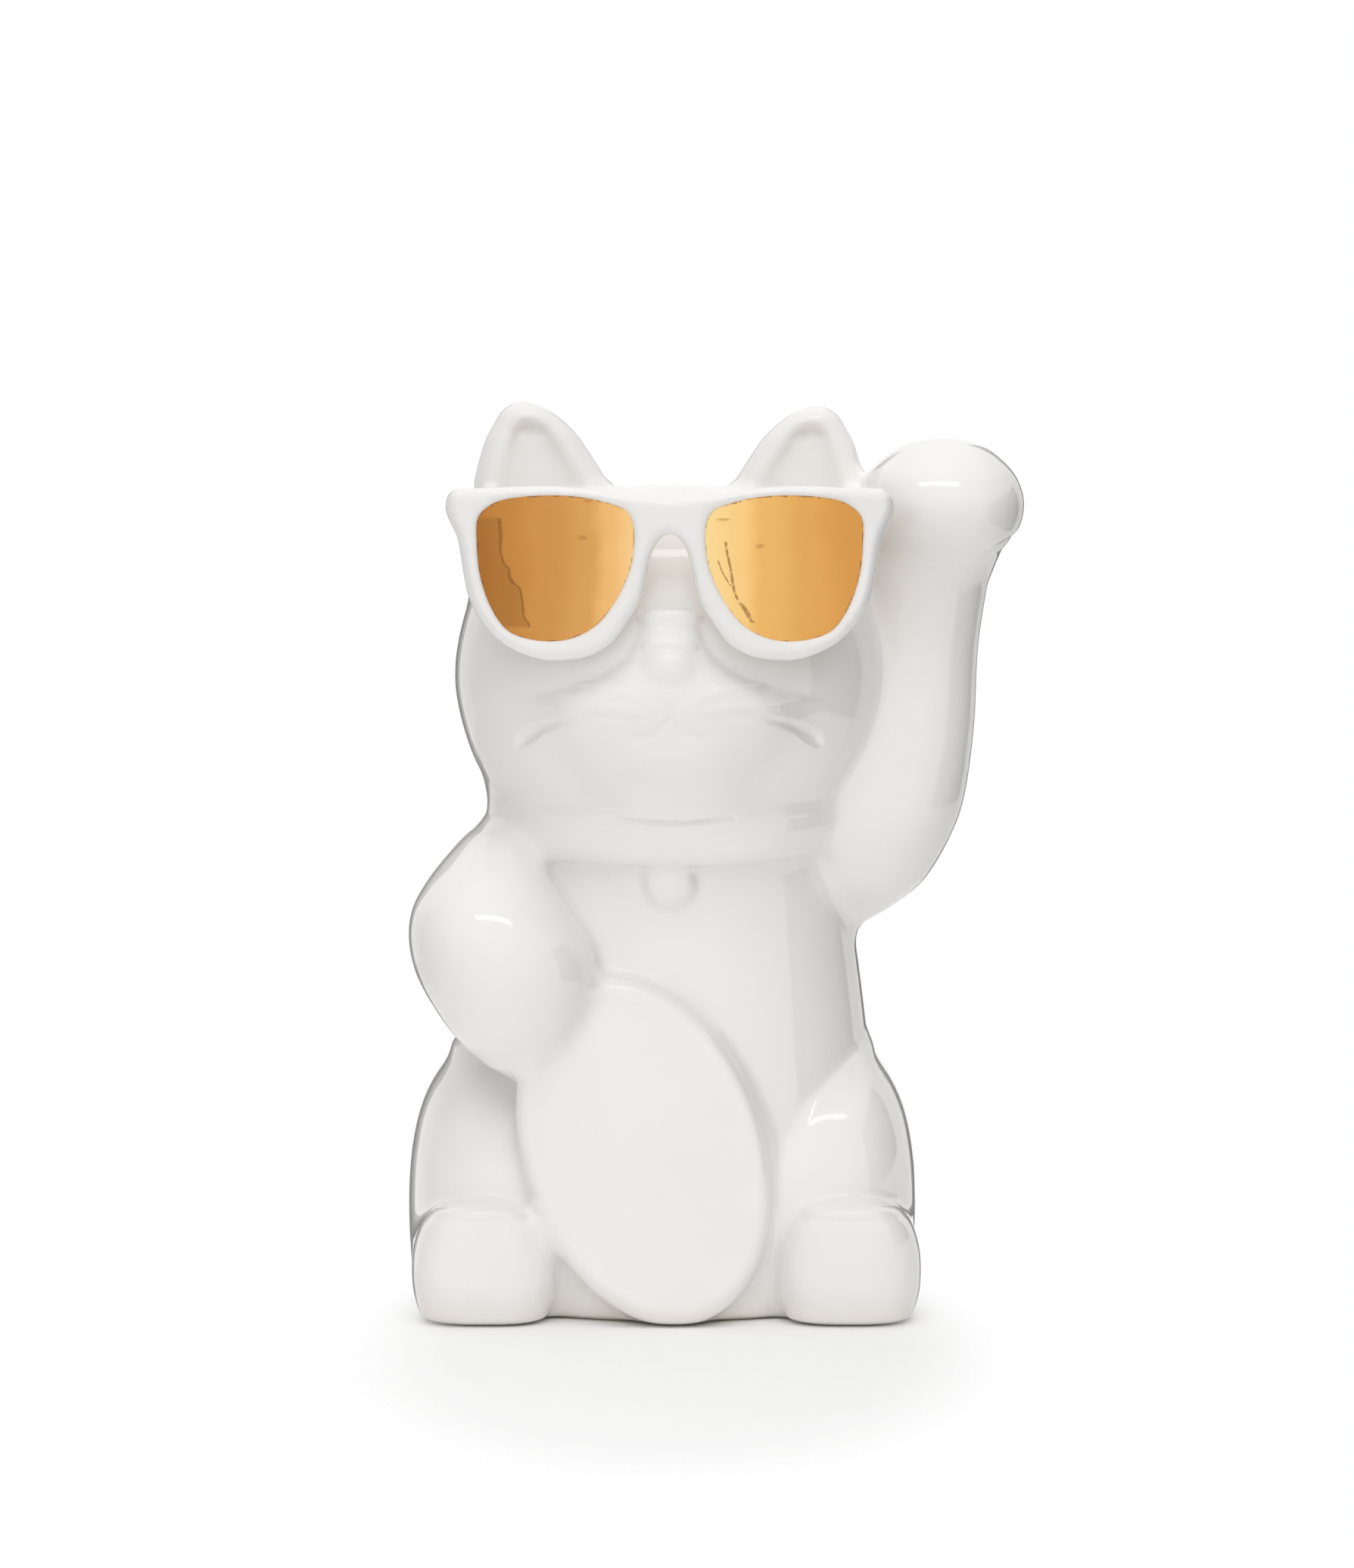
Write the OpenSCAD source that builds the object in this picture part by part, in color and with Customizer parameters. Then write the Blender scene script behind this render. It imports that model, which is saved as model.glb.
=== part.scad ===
// Beckoning cat money bank: a glazed ceramic figure made up from cast, pressed and sprigged
// pieces luted together, with gold-lustred sunglasses and a soft stopper in its base.
// Millimetres. The figure faces -Y, its raised paw is on +X, and it stands on z = 0 with the
// origin under the middle of its body.

/* [Body] */
// Width of the torso at the hips
torso_w = 98; // [94:1:100]
// Depth of the torso at the hips
torso_d = 90; // [86:1:92]
// Height of the joint between the torso and the head
neck_z = 113.5; // [113:0.5:114.5]
// Thickness of the fired wall
wall = 4.5; // [3.5:0.5:5]
// Thickness of the floor of the bank
floor_t = 8; // [7.5:0.5:10]

/* [Head] */
// Width of the head at the cheeks
head_w = 101.4; // [99:0.2:103]
// Depth of the head, from the cheeks to the back
head_d = 86; // [84:1:88]
// Top of the head between the ears
head_top = 192.8; // [191.5:0.1:194]
// Top of the ears, which is the height of the whole figure
ear_top = 212.2; // [211:0.2:214]
// How much lower the ear at +X sits than the other
ear_drop = 1; // [0:0.1:2]
// Thickness of the rim round an ear's hollow
ear_rim = 3.6; // [3:0.1:4]
// Radius of the nose
nose_r = 5.4; // [4.8:0.1:6]

/* [Coin slot] */
// Length of the coin slot across the back of the head
slot_w = 36; // [32:1:40]
// Height of the coin slot
slot_h = 5; // [4.6:0.2:6]
// Height of the slot above the table
slot_z = 156; // [150:1:162]

/* [Limbs] */
// Radius of the hollow that runs up the raised arm
arm_bore_r = 8.5; // [6:0.5:9]
// Radius of the hollow inside the lower arm
paw_bore_r = 9.5; // [7:0.5:10]
// Radius of the vent from a hollow arm into the torso
vent_r = 3; // [2:0.5:4]
// Distance from the middle of the figure to the middle of each hind foot
foot_x = 42.3; // [41.5:0.1:43]
// Width of a hind foot
foot_w = 33.8; // [32:0.2:34.4]
// Height of a hind foot
foot_h = 30.5; // [29.5:0.5:31.5]
// Sideways set of the haunches
haunch_shift = -1.8; // [-2.4:0.1:0]
// Sideways set of the hind feet
foot_shift = -0.8; // [-1.4:0.1:0]

/* [Coin plate] */
// Length of the oval coin plate
plate_l = 83; // [80:1:84]
// Width of the oval coin plate
plate_w = 56; // [54:1:57]
// Thickness of the plate
plate_t = 11; // [10:0.5:12]
// Lean of the plate's top towards the lower arm
plate_tilt = 18.9; // [17:0.1:20]
// Lean of the plate's top back towards the belly
plate_rake = 7; // [6:0.5:8]
// Height of the plate's raised rim above its face
plate_rim_h = 0.6; // [0.4:0.1:1]
// Width of the plate's raised rim
plate_rim_w = 3; // [2:0.5:4]

/* [Collar and bell] */
// Width of the collar from side to side
collar_w = 84.6; // [83:0.2:86]
// Depth of the collar from front to back
collar_d = 73; // [72:0.5:74]
// Height of the collar band
collar_h = 10.2; // [9.6:0.2:11]
// Drop of the collar towards the front, as an angle
collar_tilt = 8; // [6:0.5:9]
// Radius of the bell
bell_r = 5.7; // [5:0.1:6.2]

/* [Sunglasses] */
// Thickness of the front frame
frame_t = 6.5; // [6:0.1:7]
// Foremost point of the front frame, ahead of the origin
frame_front = 52; // [51.5:0.1:52.5]
// Radius of the front frame's wrap round the face
frame_wrap = 240; // [220:10:280]
// Thickness of a lens
lens_t = 3.5; // [3:0.1:4]
// Depth of a lens behind the front of the frame
lens_inset = 1.2; // [0.8:0.1:1.6]
// Thickness of a temple
temple_t = 3.6; // [3:0.1:4]
// Height of a temple
temple_h = 5.6; // [5:0.1:6]

/* [Stopper] */
// Radius of the stopper hole
hole_r = 16; // [15:0.5:18]
// Radial clearance between the stopper and its hole
stopper_clear = 0.05; // [0.02:0.01:0.1]
// Radius of the recess that holds the stopper's flange
recess_r = 22; // [21:0.5:24]
// Depth of the recess
recess_h = 3.4; // [3:0.1:4]
// Thickness of the stopper's flange
flange_t = 2; // [1.6:0.1:2.2]
// Length of the stopper's plug above its flange
plug_h = 9; // [8:0.5:10]

/* [Hidden] */

GLAZE = "white";
LUSTRE = "goldenrod";
VINYL = "gainsboro";

// The sides as they are seen from the front
LEFT = -1;
RIGHT = 1;

// Half widths and depths, and the height of the head above its joint
torso_rx = torso_w / 2;
torso_ry = torso_d / 2;
head_rx = head_w / 2;
head_ry = head_d / 2;
head_h = head_top - neck_z;
foot_rx = foot_w / 2;

// Middle of the torso, head and ears from front to back
torso_y = 2;
head_y = -2;
ear_y = -2;
muzzle_y = -36;
nose_y = -45.9;
nose_z = 152.6;
bell_y = -31.4;
bell_z = 101.1;

// Smallest ring of a rounded end
tip_r = 0.4;

// Each form is a table of level rings: [height, middle in x, middle in y, half width, half depth]
torso_form = [
    [0, 0, 0, 0.91 * torso_rx, 0.93 * torso_ry],
    [3, 0, 0, 0.95 * torso_rx, 0.97 * torso_ry],
    [0.14 * neck_z, 0, 0, 0.99 * torso_rx, torso_ry],
    [0.34 * neck_z, 0, 0.5 * torso_y, torso_rx, torso_ry],
    [0.54 * neck_z, 0, torso_y, 0.96 * torso_rx, 0.93 * torso_ry],
    [0.76 * neck_z, 0, 1.5 * torso_y, 0.895 * torso_rx, 0.82 * torso_ry],
    [0.9 * neck_z, 0, torso_y, 0.83 * torso_rx, 0.735 * torso_ry],
    [neck_z, 0, head_y, 0.68 * head_rx, 0.68 * head_ry]
];
head_form = [
    [neck_z, 0, head_y, 0.68 * head_rx, 0.68 * head_ry],
    [neck_z + 0.1 * head_h, 0, head_y, 0.834 * head_rx, 0.834 * head_ry],
    [neck_z + 0.24 * head_h, 0, head_y, 0.942 * head_rx, 0.942 * head_ry],
    [neck_z + 0.42 * head_h, 0, head_y, head_rx, head_ry],
    [neck_z + 0.6 * head_h, 0, head_y, 0.962 * head_rx, 0.962 * head_ry],
    [neck_z + 0.77 * head_h, 0, head_y, 0.855 * head_rx, 0.855 * head_ry],
    [neck_z + 0.9 * head_h, 0, head_y, 0.67 * head_rx, 0.67 * head_ry],
    [neck_z + 0.97 * head_h, 0, head_y, 0.44 * head_rx, 0.44 * head_ry],
    [head_top, 0, head_y, tip_r, tip_r]
];
muzzle_form = [
    [114.5, 0, muzzle_y + 6, tip_r, tip_r],
    [117, 0, muzzle_y + 3.4, 5, 3.2],
    [121, 0, muzzle_y + 1.2, 9.6, 5.2],
    [125, 0, muzzle_y + 0.2, 13.2, 6.9],
    [128, 0, muzzle_y, 15.8, 8.3],
    [131, 0, muzzle_y, 18.8, 10.2],
    [135, 0, muzzle_y, 22.6, 12.6],
    [140, 0, muzzle_y, 26.2, 14.6],
    [146, 0, muzzle_y, 24.8, 15.6],
    [150, 0, muzzle_y, 18, 14.6],
    [154, 0, muzzle_y, 12.4, 13.3],
    [158, 0, muzzle_y, 9.4, 11.9],
    [162, 0, muzzle_y, 8.4, 10],
    [165, 0, muzzle_y, 7.6, 7.8],
    [167, 0, muzzle_y, tip_r, tip_r]
];
raised_form = [
    [86.5, 41, 0, tip_r, tip_r],
    [89.5, 41.5, 0, 5, 7],
    [94, 43.6, 0, 10.4, 11.5],
    [100, 46, -2, 14.5, 15],
    [110, 48.3, -4, 17.9, 17],
    [120, 51.7, -4, 17.9, 17.5],
    [136, 56.2, -2, 15.6, 16],
    [154, 58.2, -1, 14.5, 14.5],
    [168, 60, -2, 14.6, 14.5],
    [178, 61.6, -4, 14.6, 14.5],
    [186, 63, -7, tip_r, tip_r]
];
raised_paw_form = [
    [174, 64.5, -11, tip_r, tip_r],
    [176, 64.6, -11, 8.5, 8.5],
    [181, 64.8, -10.5, 15.7, 15.5],
    [188, 64.2, -9.5, 18.8, 19],
    [194.5, 63.7, -8, 17.8, 17.8],
    [199.5, 63.9, -7, 13.4, 13.5],
    [202.6, 64.2, -6.5, 8, 8.6],
    [203.9, 64.4, -6.5, tip_r, tip_r]
];
lower_form = [
    [56.8, -36.5, -35, tip_r, tip_r],
    [58.6, -36.3, -35, 5, 6],
    [61, -36.3, -35, 8.2, 9.5],
    [65.5, -35.8, -35, 13.4, 15],
    [71.5, -36.3, -34.5, 17.5, 19.5],
    [80, -37.6, -33, 21.1, 23.5],
    [88, -39.3, -31, 21.4, 25],
    [95, -41.3, -28.5, 18.8, 24],
    [101, -41.8, -25, 15.2, 21.5],
    [107, -41.5, -20, 10.7, 17],
    [112.7, -40, -15, 6.3, 10.5],
    [116, -39, -12, tip_r, tip_r]
];
haunch_form = [
    [0, 37, -2, 20, 37],
    [4, 37.4, -2, 21.6, 39.5],
    [16, 37.7, -3, 22.2, 41],
    [28, 37.8, -3, 22.2, 40.6],
    [37, 38, -3, 21.2, 38.4],
    [45, 38.9, -3, 18.6, 34.2],
    [51.5, 40.3, -3, 14.5, 28.4],
    [57.5, 42, -2, 9, 20.5],
    [61.5, 44.4, -1, 5, 12],
    [63.5, 46, 0, tip_r, tip_r]
];
foot_form = [
    [0, foot_x, -33, 0.8 * foot_rx, 15.6],
    [0.065 * foot_h, foot_x, -33, 0.91 * foot_rx, 17.6],
    [0.26 * foot_h, foot_x, -33, foot_rx, 19.4],
    [0.5 * foot_h, foot_x, -33, foot_rx, 19.6],
    [0.69 * foot_h, foot_x, -32.8, 0.92 * foot_rx, 19.5],
    [0.81 * foot_h, foot_x, -32.6, 0.8 * foot_rx, 19],
    [0.92 * foot_h, foot_x, -32.4, 0.56 * foot_rx, 17],
    [foot_h, foot_x, -32.4, tip_r, tip_r]
];
tail_form = [
    [6, 0, 44, tip_r, tip_r],
    [8.5, 0, 44.5, 5, 4.5],
    [16, 0, 45.5, 9, 7.5],
    [26, 0, 45.5, 9.6, 8.5],
    [36, 0, 44.5, 8.4, 8],
    [44, 0, 43, 5.4, 6],
    [47, 0, 42.5, tip_r, tip_r]
];
ear_form = [
    [ear_top - 54, 30, ear_y, 10, 6],
    [ear_top - 44, 30, ear_y, 15.6, 9],
    [ear_top - 32, 30, ear_y, 16.3, 9],
    [ear_top - 20.7, 30, ear_y + 1.5, 16.1, 8],
    [ear_top - 16.6, 30.8, ear_y + 2, 14.8, 7.5],
    [ear_top - 9.5, 32.1, ear_y + 3.1, 11.5, 6.1],
    [ear_top - 5.9, 32.7, ear_y + 3.7, 9.1, 5.2],
    [ear_top - 2.4, 33.8, ear_y + 4.2, 5.9, 3.9],
    [ear_top - 0.6, 34.6, ear_y + 4.5, 2.6, 2.2],
    [ear_top, 34.7, ear_y + 4.6, tip_r, tip_r]
];
// The hollow stands ahead of the ear, so that it dishes the front and leaves the back whole
ear_dish_y = ear_y - 9.4;
ear_dish_form = [
    [ear_top - 30, 30, ear_dish_y, 16.2 - ear_rim, 6],
    [ear_top - 20, 30.2, ear_dish_y + 1.5, 16 - ear_rim, 6.8],
    [ear_top - 14, 31.2, ear_dish_y + 2.4, 13.6 - ear_rim, 7.4],
    [ear_top - 9.5, 32.2, ear_dish_y + 3.1, 11.3 - ear_rim, 7.6],
    [ear_top - 5.8, 33, ear_dish_y + 3.7, 8.2 - ear_rim, 7.4],
    [ear_top - 3.6, 33.5, ear_dish_y + 4, tip_r, tip_r]
];
bell_form = [
    [bell_z - bell_r, 0, bell_y, tip_r, tip_r],
    [bell_z - 0.8 * bell_r, 0, bell_y, 0.6 * bell_r, 0.36 * bell_r],
    [bell_z, 0, bell_y, bell_r, 0.6 * bell_r],
    [bell_z + 0.8 * bell_r, 0, bell_y, 0.6 * bell_r, 0.36 * bell_r],
    [bell_z + bell_r, 0, bell_y, tip_r, tip_r]
];
// The collar's rings are taken about its own middle, before it is tilted
collar_z = 116.3;
collar_form = [
    [-collar_h / 2, 0, head_y, collar_w / 2 - 3.4, collar_d / 2 - 3.4],
    [-0.4 * collar_h, 0, head_y, collar_w / 2 - 1, collar_d / 2 - 1],
    [-0.15 * collar_h, 0, head_y, collar_w / 2, collar_d / 2],
    [0.2 * collar_h, 0, head_y, collar_w / 2, collar_d / 2],
    [0.42 * collar_h, 0, head_y, collar_w / 2 - 1, collar_d / 2 - 1],
    [collar_h / 2, 0, head_y, collar_w / 2 - 3, collar_d / 2 - 3]
];

// Squareness of the rings: 2 is an ellipse, and a higher power is squarer
ROUND = 2;
FULL = 2.2;
STOUT = 2.5;
BLOCKY = 3;

// Hollows
overrun = 2;
corner_r = 6;
vent_length = 20;
slot_reach = 14;
arm_hollow = [[44, 0, 102], [55, 0, 138], [59.5, -2, 168], [64, -8, 189]];
paw_hollow = [[-37, -34, 75], [-39.5, -27, 90], [-36, -13, 98]];

// Coin plate
plate_x = -6.1;
plate_y = -42;
plate_z = 39.8;
plate_edge = 2.5;
plate_clip = 0.4;
// The rounding of the plate's edge: [share of its height, share of its width that is drawn in]
plate_edge_profile = [[0, 1], [0.3, 0.3], [1, 0]];

// Sunglasses: the right half of each outline, mirrored for the left, as [x, height]
lens_points = [
    [43.9, 187], [41, 190.1], [36.6, 191.6], [28, 192.3], [19.5, 191.8], [11.8, 189.9],
    [9.2, 187.8], [8.3, 183.8], [8.8, 177.7], [10.5, 172.5], [13.4, 167.2], [17, 162.9],
    [22, 160.1], [27.5, 159.2], [33.2, 159.9], [37.6, 162], [41.1, 167.2], [43.4, 174.2], [44.1, 181.2]
];
frame_points = [
    [0, 192], [15, 193.6], [28, 194.6], [44.7, 193.9], [50, 193.1], [51.5, 189.7],
    [50.4, 186.1], [49.1, 183.4], [48.3, 180.3], [47.2, 173.3], [46, 168.4], [43.8, 164.2],
    [40.2, 160], [36, 157], [30, 154.9], [25, 154.6], [18.9, 155.5], [13.4, 158.6],
    [9.2, 164.2], [6.6, 169], [5.3, 174.2], [4.6, 177.7], [3.2, 181.2], [1.6, 183.1], [0, 183.6]
];
curve_steps = 3;
pad_x = 11;
pad_w = 4;
pad_low = 169;
pad_high = 185;
pad_front = -47;
pad_back = -30;
temple_x = 48;
temple_z = 189.6;
temple_front = -42;
temple_back = -2;
temple_toe = 6.5;

// Stopper
plug_r = hole_r - stopper_clear;
flange_r = recess_r - 1;
flange_z = recess_h - flange_t - 0.1;
rib_depth = 0.9;
rib_h = 1.6;
cup_r = plug_r - 3;

// Rows of a table turned inside out, which carry its curve smoothly over a rounded end
function mirrored(row) = [row[0], row[1], row[2], -row[3], -row[4]];
function before(rows) = rows[0][3] > tip_r ? 2 * rows[0] - rows[1] : mirrored(rows[1]);
function after(rows, last) =
    rows[last][3] > tip_r ? 2 * rows[last] - rows[last - 1] : mirrored(rows[last - 1]);

// Point at t between b and c on a smooth curve through a, b, c and d
function smooth(a, b, c, d, t) =
    b + 0.5 * t * (c - a + t * (2 * a - 5 * b + 4 * c - d + t * (3 * b - 3 * c + d - a)));

// Ring at u, where u counts the rows of the table
function ring_at(rows, u) =
    let (
        last = len(rows) - 1,
        i = min(floor(u), last - 1),
        a = i == 0 ? before(rows) : rows[i - 1],
        d = i == last - 1 ? after(rows, last) : rows[i + 2]
    )
    smooth(a, rows[i], rows[i + 1], d, u - i);

function signed_power(v, p) = sign(v) * pow(abs(v), p);

function ring_point(ring, angle, power) = [
    ring[1] + ring[3] * signed_power(cos(angle), 2 / power),
    ring[2] + ring[4] * signed_power(sin(angle), 2 / power),
    ring[0]
];

// Closed curve through the points, and the open one from the first to the last
function closed_curve(points, steps) =
    let (n = len(points))
    [
        for (i = [0 : n - 1], k = [0 : steps - 1])
            smooth(points[(i + n - 1) % n], points[i], points[(i + 1) % n], points[(i + 2) % n], k / steps)
    ];
function open_curve(points, steps) =
    let (n = len(points))
    [
        for (i = [0 : n - 2], k = [0 : steps - 1])
            smooth(points[max(i - 1, 0)], points[i], points[i + 1], points[min(i + 2, n - 1)], k / steps),
        points[n - 1]
    ];

// Solid through the rings of a table
module loft(rows, rings, sides, power = ROUND) {
    points = [
        for (k = [0 : rings])
            let (ring = ring_at(rows, k * (len(rows) - 1) / rings))
                for (s = [0 : sides - 1]) ring_point(ring, s * 360 / sides, power)
    ];
    skin = [
        for (k = [0 : rings - 1], s = [0 : sides - 1])
            let (a = k * sides + s, b = k * sides + (s + 1) % sides)
                each [[a, b + sides, b], [a, a + sides, b + sides]]
    ];
    bottom = [for (s = [0 : sides - 1]) s];
    top = [for (s = [sides - 1 : -1 : 0]) rings * sides + s];
    polyhedron(points, concat(skin, [bottom, top]));
}

// Freeform pieces joined or cut as one mesh; a size of 0 leaves every side as it is
module freeform() resize([0, 0, 0]) union() children();

// Rings of a form drawn in by the wall
function inside(rows, t) =
    [for (r = rows) [r[0], r[1], r[2], max(r[3] - t, tip_r), max(r[4] - t, tip_r)]];

module mirrored_to(side) scale([side, 1, 1]) children();

// Outer forms, which the pieces luted onto them are cut to
module torso_form_solid() loft(torso_form, 21, 32, FULL);
module head_form_solid() {
    loft(head_form, 20, 32, FULL);
    loft(muzzle_form, 28, 24, STOUT);
    translate([0, nose_y, nose_z]) sphere(r = nose_r, $fn = 20);
}
module raised_form_solid() {
    loft(raised_form, 22, 24, FULL);
    loft(raised_paw_form, 14, 24, FULL);
}
module lower_form_solid() loft(lower_form, 18, 24, FULL);
module haunch_form_solid(side)
    translate([haunch_shift, 0, 0])
        mirrored_to(side)
            loft(haunch_form, 16, 24, STOUT);
module foot_form_solid(side)
    translate([foot_shift, 0, 0])
        mirrored_to(side)
            loft(foot_form, 14, 28, BLOCKY);
module on_ear(side) translate([0, 0, side == RIGHT ? -ear_drop : 0]) mirrored_to(side) children();
module ear_form_solid(side) on_ear(side) loft(ear_form, 16, 20);
module collar_form_solid()
    translate([0, 0, collar_z])
        rotate([collar_tilt, 0, 0])
            loft(collar_form, 8, 40, FULL);

// Hollow of radius r along the points of a path
module bore_along(path, r)
    for (i = [0 : len(path) - 2])
        hull() {
            translate(path[i]) sphere(r = r, $fn = 16);
            translate(path[i + 1]) sphere(r = r, $fn = 16);
        }

// Vent through the torso wall, level and square to the figure's side
module vent(place, side)
    translate(place)
        rotate([0, -90 * side, 0])
            cylinder(r = vent_r, h = vent_length, center = true, $fn = 16);

module torso_cavity() {
    lower = inside(torso_form, wall);
    corner = lower[2];
    rows = concat(
        [
            [floor_t, 0, 0, corner[3] - corner_r, corner[4] - corner_r],
            [floor_t + 0.4 * corner_r, 0, 0, corner[3] - 0.3 * corner_r, corner[4] - 0.3 * corner_r]
        ],
        [for (i = [2 : len(lower) - 1]) lower[i]],
        [lower[len(lower) - 1] + [overrun, 0, 0, 0, 0]]
    );
    loft(rows, 18, 24, FULL);
}

module head_cavity() {
    upper = inside(head_form, wall);
    squeeze = (head_h - wall) / head_h;
    rows = concat(
        [upper[0] - [overrun, 0, 0, 0, 0]],
        [for (r = upper) [neck_z + (r[0] - neck_z) * squeeze, r[1], r[2], r[3], r[4]]]
    );
    loft(rows, 18, 24, FULL);
}

module torso_shell()
    color(GLAZE)
        difference() {
            freeform()
                difference() {
                    torso_form_solid();
                    torso_cavity();
                    vent(arm_hollow[0], RIGHT);
                    vent(paw_hollow[len(paw_hollow) - 1], LEFT);
                }
            translate([0, 0, -overrun]) cylinder(r = hole_r, h = floor_t + 2 * overrun, $fn = 72);
            translate([0, 0, -overrun]) cylinder(r = recess_r, h = recess_h + overrun, $fn = 72);
        }

module head_shell()
    color(GLAZE)
        freeform()
            difference() {
                head_form_solid();
                head_cavity();
                coin_slot();
            }

// Slot with round ends, from the back of the head into its hollow
module coin_slot()
    hull()
        for (side = [LEFT, RIGHT])
            translate([side * (slot_w - slot_h) / 2, head_y + head_ry - slot_reach, slot_z])
                rotate([-90, 0, 0])
                    cylinder(d = slot_h, h = slot_reach + overrun, $fn = 24);

module raised_arm()
    color(GLAZE)
        freeform()
            difference() {
                raised_form_solid();
                torso_form_solid();
                head_form_solid();
                bore_along(arm_hollow, arm_bore_r);
            }

module lower_arm()
    color(GLAZE)
        freeform()
            difference() {
                lower_form_solid();
                torso_form_solid();
                bore_along(paw_hollow, paw_bore_r);
            }

module haunch(side)
    color(GLAZE)
        freeform()
            difference() {
                haunch_form_solid(side);
                torso_form_solid();
            }

module hind_foot(side)
    color(GLAZE)
        freeform()
            difference() {
                foot_form_solid(side);
                torso_form_solid();
                haunch_form_solid(side);
            }

module tail()
    color(GLAZE)
        freeform()
            difference() {
                loft(tail_form, 14, 20);
                torso_form_solid();
            }

module collar()
    color(GLAZE)
        freeform()
            difference() {
                collar_form_solid();
                torso_form_solid();
                head_form_solid();
                raised_form_solid();
                lower_form_solid();
            }

module bell()
    color(GLAZE)
        freeform()
            difference() {
                loft(bell_form, 10, 20);
                torso_form_solid();
                collar_form_solid();
            }

// Oval plate with rounded edges, lying on its back, face up
module plate_blank() {
    half_w = plate_w / 2;
    half_l = plate_l / 2;
    back = [
        for (e = plate_edge_profile)
            [e[0] * plate_edge - plate_t / 2, 0, 0, half_w - e[1] * plate_edge, half_l - e[1] * plate_edge]
    ];
    front = [for (i = [len(back) - 1 : -1 : 0]) [-back[i][0], 0, 0, back[i][3], back[i][4]]];
    face_w = half_w - plate_edge - plate_rim_w;
    face_l = half_l - plate_edge - plate_rim_w;
    difference() {
        loft(concat(back, front), 10, 44);
        loft(
            [
                [plate_t / 2 - plate_rim_h, 0, 0, face_w, face_l],
                [plate_t / 2 + overrun, 0, 0, face_w + plate_rim_w, face_l + plate_rim_w]
            ],
            1, 44
        );
    }
}

module coin_plate()
    color(GLAZE)
        freeform()
            difference() {
                translate([plate_x, plate_y, plate_z])
                    rotate([-plate_rake, 0, 0])
                        rotate([0, -plate_tilt, 0])
                            rotate([90, 0, 0])
                                plate_blank();
                torso_form_solid();
                lower_form_solid();
                for (side = [LEFT, RIGHT]) {
                    haunch_form_solid(side);
                    foot_form_solid(side);
                }
                below_table();
            }

// Everything lower than the plate's clearance above the table
module below_table()
    translate([-plate_l, -plate_l, -plate_l])
        cube([2 * plate_l, 2 * plate_l, plate_l + plate_clip]);

module ear(side)
    color(GLAZE)
        freeform()
            difference() {
                ear_form_solid(side);
                head_form_solid();
                on_ear(side) loft(ear_dish_form, 12, 20);
                if (side == RIGHT) raised_form_solid();
            }

module lens_outline(side) mirrored_to(side) polygon(closed_curve(lens_points, curve_steps));

module frame_outline() {
    half = open_curve(frame_points, curve_steps);
    polygon(concat(half, [for (i = [len(half) - 2 : -1 : 1]) [-half[i][0], half[i][1]]]));
}

// An outline drawn in x and height, cut from the wrapped sheet that starts inset behind the frame's front
module wrapped(inset, thickness)
    intersection() {
        rotate([90, 0, 0]) linear_extrude(2 * frame_front) children();
        translate([0, frame_wrap - frame_front, 0])
            difference() {
                cylinder(r = frame_wrap - inset, h = ear_top, $fn = 180);
                translate([0, 0, -overrun])
                    cylinder(r = frame_wrap - inset - thickness, h = ear_top + 2 * overrun, $fn = 180);
            }
    }

module glasses_front()
    color(GLAZE)
        freeform()
            difference() {
                union() {
                    wrapped(0, frame_t) difference() {
                        frame_outline();
                        lens_outline(LEFT);
                        lens_outline(RIGHT);
                    }
                    for (side = [LEFT, RIGHT]) mirrored_to(side) luting_pad();
                }
                head_form_solid();
                for (side = [LEFT, RIGHT]) lens(side);
            }

// Pad of clay that beds the frame on the face beside the nose
module luting_pad()
    translate([pad_x - pad_w / 2, pad_front, pad_low])
        cube([pad_w, pad_back - pad_front, pad_high - pad_low]);

module lens(side) wrapped(lens_inset, lens_t) lens_outline(side);

module lens_piece(side) color(LUSTRE) freeform() lens(side);

module temple(side)
    color(GLAZE)
        freeform()
            difference() {
                mirrored_to(side)
                    hull() {
                        translate([temple_x, temple_front, temple_z]) temple_end();
                        translate([temple_x - temple_toe, temple_back, temple_z]) temple_end();
                    }
                wrapped(0, frame_t) frame_outline();
                ear_form_solid(side);
                head_form_solid();
                if (side == RIGHT) raised_form_solid();
            }

module temple_end() cube([temple_t, temple_t, temple_h], center = true);

module base_stopper()
    color(VINYL)
        rotate_extrude($fn = 72)
            polygon([
                [0, flange_z],
                [flange_r, flange_z],
                [flange_r, flange_z + flange_t],
                [plug_r, flange_z + flange_t],
                [plug_r, floor_t - rib_h],
                [plug_r - rib_depth, floor_t - rib_h],
                [plug_r - rib_depth, floor_t],
                [plug_r, floor_t],
                [plug_r, flange_z + plug_h - rib_h],
                [plug_r - rib_depth, flange_z + plug_h],
                [cup_r, flange_z + plug_h],
                [cup_r, flange_z + flange_t],
                [0, flange_z + flange_t]
            ]);

torso_shell();
head_shell();
raised_arm();
lower_arm();
haunch(LEFT);  // haunch_left
haunch(RIGHT);  // haunch_right
hind_foot(LEFT);  // hind_foot_left
hind_foot(RIGHT);  // hind_foot_right
tail();
collar();
bell();
coin_plate();
ear(LEFT);  // ear_left
ear(RIGHT);  // ear_right
glasses_front();
temple(LEFT);  // temple_left
temple(RIGHT);  // temple_right
lens_piece(LEFT);  // lens_left
lens_piece(RIGHT);  // lens_right
base_stopper();
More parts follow.
